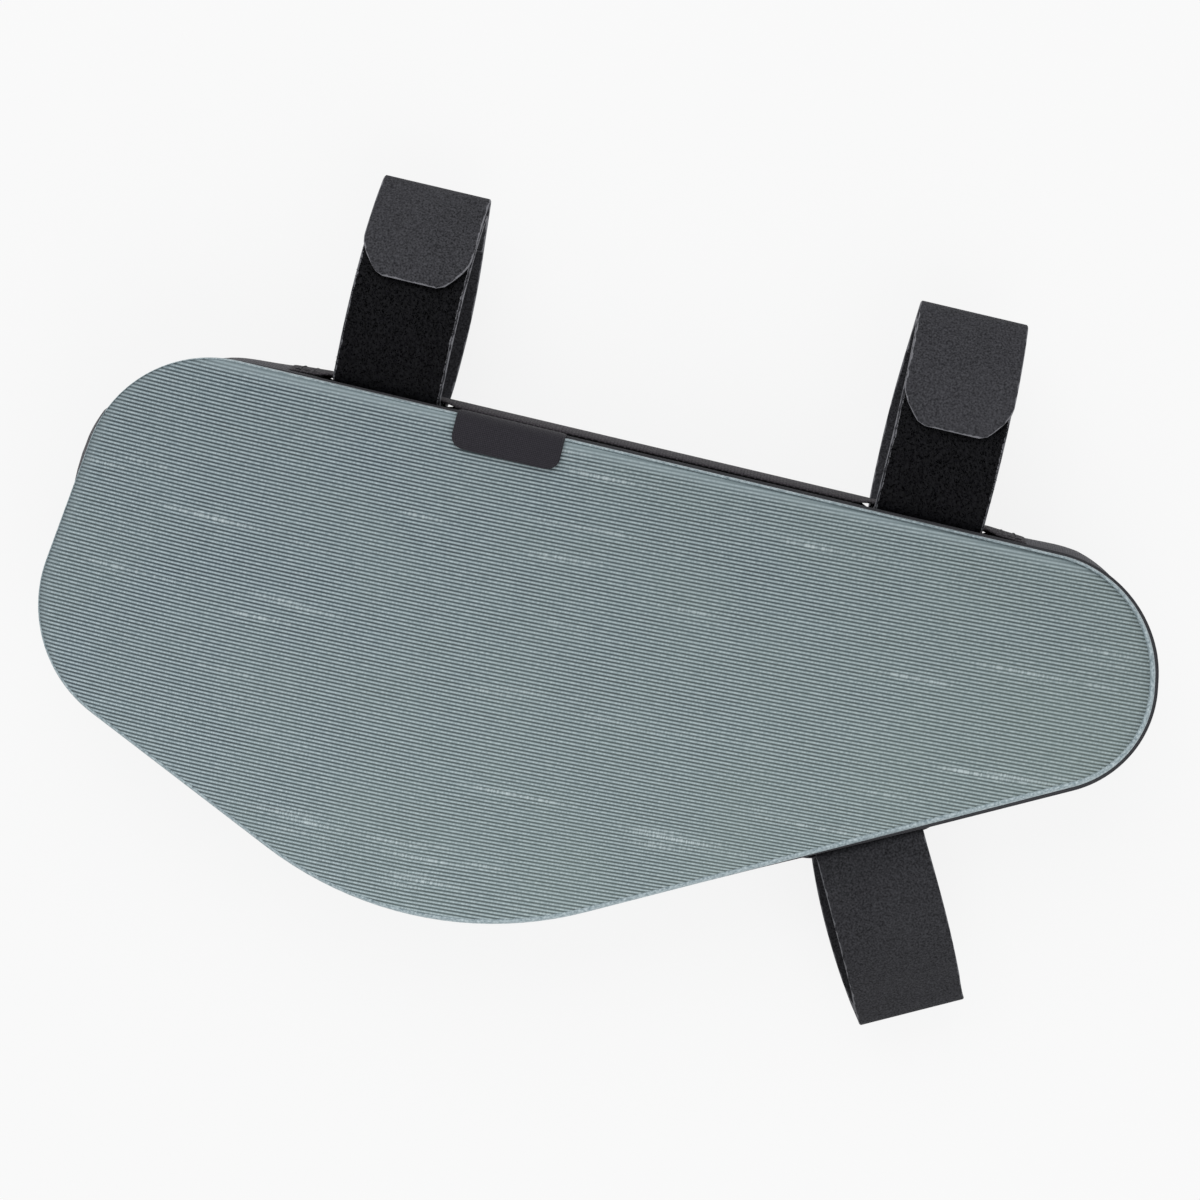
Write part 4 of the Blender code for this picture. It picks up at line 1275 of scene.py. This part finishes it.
# %% Make the three straps with their patches
strap_pieces = []
patch_grids = {}
for name, strap in STRAPS.items():
    path, leg_path = strap_paths(strap)
    leg_length = arc_lengths(leg_path)[-1]
    grid = strip(strap, path, STRAP_WIDTH / 2, cut_end=True)
    band = sheet_piece(f"strap_{name}_cloth", grid, STRAP_WALL, strap_rubber, edge_round=0.35)
    patch_half = STRAP_WIDTH / 2 - PATCH_MARGIN
    rise = STRAP_WALL / 2 + CLEARANCE + PILE_WALL / 2
    patch_path = layer(leg_path, rise, FOLD_ALLOWANCE, leg_length - PATCH_MARGIN)
    pile_grid = strip(strap, patch_path, patch_half)
    pile = sheet_piece(f"pile_{name}_base", pile_grid, PILE_WALL, pile_backing)
    rise += (PILE_WALL + HOOK_WALL) / 2 + CLEARANCE
    under_tab = layer(leg_path, rise, 2 * FOLD_ALLOWANCE, strap["tab"] - PATCH_MARGIN)
    hook_grid = strip(strap, under_tab, patch_half, cut_end=True)
    hooks = sheet_piece(f"hook_{name}_base", hook_grid, HOOK_WALL, hook_tape)
    strap_pieces.append((name, band, pile, hooks))
    patch_grids[name] = (pile_grid, hook_grid)
    print(name, "strap length:", round(float(arc_lengths(path)[-1]), 4))

# %% [markdown]
# The pile is a mat of tiny loops that catch the hooks under the tab. Seen from arm's length they
# read as short, leaning hairs, and their ends make the patch's edge fuzzy.

# %% Grow the pile and the hooks
PILE_HAIR = (0.00026, 0.00026, 0.00080)
HOOK_HAIR = (0.00026, 0.00026, 0.00050)


def surface_source(grid, lift):
    """A bare surface beside a grid, for a rule to scatter on, facing out of the strap."""
    along = np.gradient(grid, axis=0)
    across = np.gradient(grid, axis=1)
    normals = np.cross(along, across)
    normals /= np.linalg.norm(normals, axis=2, keepdims=True)
    points = (grid + normals * lift).reshape(-1, 3)
    index = np.arange(len(points)).reshape(grid.shape[:2])
    quads = np.stack((index[:-1, :-1], index[1:, :-1], index[1:, 1:], index[:-1, 1:]), axis=2)
    quads = quads.reshape(-1, 4)
    if lift < 0:
        quads = quads[:, ::-1]
    mesh = bpy.data.meshes.new("surface")
    mesh.from_pydata(points.tolist(), [], quads.tolist())
    source = bpy.data.objects.new("surface", mesh)
    bpy.context.scene.collection.objects.link(source)
    return source


hair_pieces = []
for seed, (name, (pile_grid, hook_grid)) in enumerate(patch_grids.items(), start=11):
    # The path runs down the leg, so the outer face is to its left in front and to its right behind.
    outward_side = STRAPS[name]["side"]
    hairs = bake_rule(f"pile_{name}_hairs",
                      surface_source(pile_grid, outward_side * PILE_WALL * 0.4), pile_rule,
                      {"Density": 4.2e6, "Seed": seed, "Size": PILE_HAIR, "Lean": 0.8,
                       "Material": pile_fabric})
    grips = bake_rule(f"hook_{name}_grips",
                      surface_source(hook_grid, -outward_side * HOOK_WALL * 0.4), pile_rule,
                      {"Density": 1.1e6, "Seed": seed, "Size": HOOK_HAIR, "Lean": 0.25,
                       "Material": hook_tape})
    hair_pieces.append((hairs, grips))

# %% [markdown]
# ## The webbing
# A run of webbing is sewn along the gusset and holds the straps' feet down. It lifts over each
# foot and leaves a small gap at either side of it.

# %% Lay the webbing
WEBBING_WALL = 0.0007
WEBBING_TAIL = 0.0125
WEBBING_RAMP = 0.0050
TAIL_THINNING = 0.010


def webbing_grid(names):
    """The webbing's grid over the straps of one edge, and where it lies flat."""
    first = STRAPS[names[0]]
    origin, along, out = edge_place(*first["edge"])
    middles = [(edge_place(*STRAPS[n]["edge"])[0] - origin).dot(along) for n in names]
    start = middles[0] - STRAP_WIDTH / 2 - WEBBING_TAIL
    end = middles[-1] + STRAP_WIDTH / 2 + WEBBING_TAIL
    stops = np.linspace(start, end, round((end - start) / 0.0007))
    heights = np.linspace(-WEBBING_WIDTH / 2, WEBBING_WIDTH / 2, 25)
    there = np.array([origin.x, origin.y]) + stops[:, None] * np.array([along.x, along.y])
    full = np.array([np.interp(round_place(x, y), round_places, unpressed) for x, y in there])
    flat = bulge(heights)[None, :] * np.ones((len(stops), 1))
    for k, value in enumerate(full):
        flat[k] = bulge(heights, min(value, 1.1))
    over_foot = bulge(heights, PRESSED_IN) + 2 * CLEARANCE + STRAP_WALL
    lift = np.zeros(len(stops))
    for middle in middles:
        beyond = np.abs(stops - middle) - STRAP_WIDTH / 2 - CLEARANCE
        share = np.clip(beyond / WEBBING_RAMP, 0, 1)
        lift = np.maximum(lift, 1 - share ** 2 * (3 - 2 * share))
    from_tail = np.minimum(stops - start, end - stops)
    pressed = 1 - 0.8 * np.clip(1 - from_tail / TAIL_THINNING, 0, 1)
    resting = flat + (0.5 * CLEARANCE + WEBBING_WALL / 2) * pressed[:, None]
    crossing = np.maximum(over_foot[None, :] + WEBBING_WALL / 2, resting)
    rise = resting + (crossing - resting) * lift[:, None]
    x = origin.x + along.x * stops[:, None] + out.x * rise
    y = origin.y + along.y * stops[:, None] + out.y * rise
    z = np.broadcast_to(MIDDLE + heights[None, :], x.shape)
    sewn_down = (lift < 0.02) & (from_tail > 0.002)
    return np.stack((x, y, z), axis=2), pressed, sewn_down


top_grid, top_pressed, top_sewn = webbing_grid(["left", "right"])
webbing_top = sheet_piece("webbing_top_tape", top_grid[:, ::-1], WEBBING_WALL, webbing_tape,
                          thinning=top_pressed)
lower_grid, lower_pressed, lower_sewn = webbing_grid(["lower"])
webbing_lower = sheet_piece("webbing_lower_tape", lower_grid, WEBBING_WALL, webbing_tape,
                            thinning=lower_pressed)
print("webbing made")

# %% [markdown]
# ## The label
# A small woven label is sewn in at the top seam and folded down over the rim. It is left bare.

# %% Fold the label over the rim
LABEL_WIDTH = 0.0298
LABEL_DROP = 0.0094
LABEL_WALL = 0.0008
LABEL_CORNER = 0.0036
section = [(0.0, 0.0), (0.00095, 0.0), (0.0, 0.0022), (0.0, 0.0038), (0.0005, 0.0053),
           (0.0015, 0.0064), (0.0030, 0.0069), (LABEL_DROP, 0.0073)][1:]
path = np.array(smooth([(-a * 1000, (front_base + b) * 1000) for a, b in section])) / 1000
path = moved_aside(path, -CLEARANCE - LABEL_WALL / 2)
lengths = arc_lengths(path)
arcs = np.linspace(0, lengths[-1], 48)
fine = at_arcs(path, lengths, arcs)
back = (lengths[-1] - arcs) / LABEL_CORNER
cut = 1 - np.sqrt(np.clip(1 - np.clip(1 - back, 0, 1) ** 2, 0, 1))
halves = LABEL_WIDTH / 2 - LABEL_CORNER * cut
origin, along, out = edge_place(TOP_LEFT, TOP_RIGHT, 0.3725)
sideways = halves[:, None] * np.linspace(-1, 1, 33)[None, :]
x = origin.x + along.x * sideways + out.x * fine[:, :1]
y = origin.y + along.y * sideways + out.y * fine[:, :1]
z = np.broadcast_to(fine[:, 1:2], x.shape)
label = sheet_piece("label_tab", np.stack((x, y, z), axis=2), LABEL_WALL, label_cloth)
print("label rows:", len(arcs))

# %% [markdown]
# ## The zip
# The bag opens behind, beside the top rim: a tape with two rows of teeth, and a slider with a
# flat pull at one end. It lies almost on the floor, so the photograph never shows it, but anyone
# who turns the bag over sees it.

# %% Sew in the zip
ZIP_WALL = 0.0008
ZIP_INSETS = (0.00304, 0.0080)
ZIP_HALF = 0.1014
zip_origin, zip_along, zip_out = edge_place(TOP_LEFT, TOP_RIGHT, 0.505)
insets = np.linspace(*ZIP_INSETS, 9)
rises = np.interp(insets, [a for a, b in BACK_SECTION[5:]], [b for a, b in BACK_SECTION[5:]])
stops = np.linspace(-ZIP_HALF, ZIP_HALF, 180)
zip_z = back_base - rises - CLEARANCE - ZIP_WALL / 2
x = zip_origin.x + zip_along.x * stops[:, None] - zip_out.x * insets[None, :]
y = zip_origin.y + zip_along.y * stops[:, None] - zip_out.y * insets[None, :]
z = np.broadcast_to(zip_z[None, :], x.shape)
zip_grid = np.stack((x, y, z), axis=2)
zip_band = sheet_piece("zip_tape_band", zip_grid, ZIP_WALL, zip_tape)
TOOTH = (0.0013, 0.0005, 0.0008)
tooth_drop = np.array((0.0, 0.0, -ZIP_WALL / 2))
teeth = bake_rule("zip_teeth",
                  line_source([zip_grid[4:-4, 3] + tooth_drop, zip_grid[5:-3, 5] + tooth_drop]),
                  row_rule, {"Pitch": 0.0013, "Size": TOOTH, "Up": (0.0, 0.0, -1.0),
                             "Material": zip_coil})
slider_length, pull_length = 9, 24
body_grid = zip_grid[4 : 4 + slider_length, 2:7] - (0, 0, ZIP_WALL / 2 + 0.0002)
slider = sheet_piece("zip_slider", body_grid, 0.0007, zip_metal, edge_round=1.2)
pull_grid = zip_grid[8 : 8 + pull_length, 3:6] - (0, 0, ZIP_WALL / 2 + 0.0007)
pull = sheet_piece("zip_pull", pull_grid, 0.0004, zip_metal, edge_round=1.0)
print("zip length:", 2 * ZIP_HALF)

# %% [markdown]
# ## Stitches
# The gusset is topstitched along both seams, the webbing is sewn down along its edges and tacked
# on both sides of every strap, and the zip's tape has a row along each edge.

# %% Stitch the seams
STITCH = (0.00042, 0.00042, 0.0021)
SEAM_DISTANCE = 0.0019


def gusset_line(from_middle):
    """A line round the gusset at a height above its middle, just on its surface."""
    plan = rim_points + rim_normals * (bulge(from_middle, fullness) + 0.0001)[:, None]
    return np.column_stack((plan, np.full(len(plan), MIDDLE + from_middle)))


seam_height = GUSSET_WIDTH / 2 - SEAM_DISTANCE
seam_stitches = bake_rule("gusset_stitches",
                          line_source([gusset_line(seam_height), gusset_line(-seam_height)], True),
                          row_rule, {"Pitch": 0.0031, "Size": STITCH, "Up": (0.0, 0.0, 1.0),
                                     "Material": thread_black})


def webbing_lines(grid, sewn_down, out):
    """Lines along the webbing's edges where it lies flat, and a tack across each end of them."""
    surface = grid + np.array((out.x, out.y, 0.0)) * (WEBBING_WALL * 0.5 - 0.0001)
    changes = np.flatnonzero(np.diff(np.concatenate(([False], sewn_down, [False])).astype(int)))
    found = []
    for first, last in zip(changes[::2], changes[1::2]):
        if last - first > 6:
            found += [surface[first:last, 2], surface[first:last, -3]]
            found += [surface[k, 2:-2] for k in (first + 1, last - 2)]
    return found


top_out, lower_out = (edge_place(*STRAPS[name]["edge"])[2] for name in ("left", "lower"))
lines = webbing_lines(top_grid, top_sewn, top_out) + webbing_lines(lower_grid, lower_sewn, lower_out)
sewn = bake_rule("webbing_stitches", line_source(lines), row_rule,
                 {"Pitch": 0.0024, "Size": (0.00035, 0.00035, 0.0019), "Up": (0.0, 0.0, 1.0),
                  "Material": thread_black})
zip_lines = [zip_grid[2:-2, k] + tooth_drop for k in (1, 7)]
zip_stitches = bake_rule("zip_stitches", line_source(zip_lines), row_rule,
                         {"Pitch": 0.0026, "Size": (0.0003, 0.0003, 0.0018),
                          "Up": (0.0, 0.0, 1.0), "Material": thread_black})

# %% [markdown]
# ## Everything rides on the bag
# The bag has no joints, so every piece rides on the one body. Each new piece hides the CAD solids
# that it stands for.


# %% Tie the pieces to the frame
def dress(piece, slot, *nodes):
    """Ties a piece to the bag's body and hides the solids that it stands for; the slot is not used."""
    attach(piece, "root")
    if nodes:
        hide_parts(*nodes)
    return piece


dress(front_face, "ribbed_cloth", "front_panel")
dress(front_rim, "ribbed_cloth")
dress(back_panel, "charcoal_cloth", "back_panel")
dress(gusset, "charcoal_cloth", "gusset")
dress(webbing_top, "webbing_tape", "webbing_top")
dress(webbing_lower, "webbing_tape", "webbing_lower")
dress(label, "label_cloth", "label")
for name, band, pile, hooks in strap_pieces:
    dress(band, "strap_rubber", f"strap_{name}")
    dress(pile, "pile_fabric", f"pile_{name}")
    dress(hooks, "hook_tape", f"hook_{name}")
for hairs, grips in hair_pieces:
    dress(hairs, "pile_fabric")
    dress(grips, "hook_tape")
dress(zip_band, "zip_tape", "zip")
for piece in (teeth, slider, pull, zip_stitches):
    dress(piece, "zip_tape")
for piece in (seam_stitches, front_seam_shade_cord, back_binding):
    dress(piece, "charcoal_cloth")
dress(sewn, "webbing_tape")
print("dressed")

# %% [markdown]
# ## Floor and light
# The photograph shows the bag on a white, shadowless ground, as on a lit table. The floor here
# glows almost white itself, so the bag hardly shades it, and two large soft lamps do the rest.

# %% Lay the floor and hang the lamps
floor_material, tree, shader = new_material("lit_floor", 0.9)
shader.inputs["Base Color"].default_value = (0.08, 0.08, 0.08, 1.0)
shader.inputs["Specular IOR Level"].default_value = 0.0
shader.inputs["Emission Color"].default_value = (1.0, 1.0, 1.0, 1.0)
shader.inputs["Emission Strength"].default_value = 0.86
floor_mesh = bpy.data.meshes.new("floor")
FLOOR_RADIUS = 12.0
rim = [(FLOOR_RADIUS * math.cos(k * math.pi / 32), FLOOR_RADIUS * math.sin(k * math.pi / 32), 0)
       for k in range(64)]
floor_mesh.from_pydata(rim, [], [tuple(range(64))])
floor_mesh.materials.append(floor_material)
floor = bpy.data.objects.new("floor", floor_mesh)
floor.location.z = -0.0005
bpy.context.scene.collection.objects.link(floor)


def lamp(name, place, size, power):
    """A square soft lamp that faces the bag."""
    data = bpy.data.lights.new(name, "AREA")
    data.size = size
    data.energy = power
    made = bpy.data.objects.new(name, data)
    made.location = place
    made.rotation_mode = "QUATERNION"
    made.rotation_quaternion = (-Vector(place)).to_track_quat("-Z", "Y")
    bpy.context.scene.collection.objects.link(made)


lamp("key_lamp", (-0.35, 0.7, 0.95), 0.9, 6.5)
lamp("fill_lamp", (0.5, -0.75, 0.9), 1.2, 8.0)
world = bpy.data.worlds.new("studio")
bpy.context.scene.world = world
world.use_nodes = True
sky = world.node_tree
background = sky.nodes["Background"]
background.inputs["Color"].default_value = (0.93, 0.94, 0.95, 1.0)
# The wall behind is seen almost white, yet lights the bag more softly than that.
seen = add(sky, "ShaderNodeLightPath").outputs["Is Camera Ray"]
sky.links.new(ranged(sky, seen, 0.0, 1.0, 0.6, 0.97), background.inputs["Strength"])
bpy.context.scene.view_settings.view_transform = "Standard"
print("lamps:", len(bpy.data.lights))
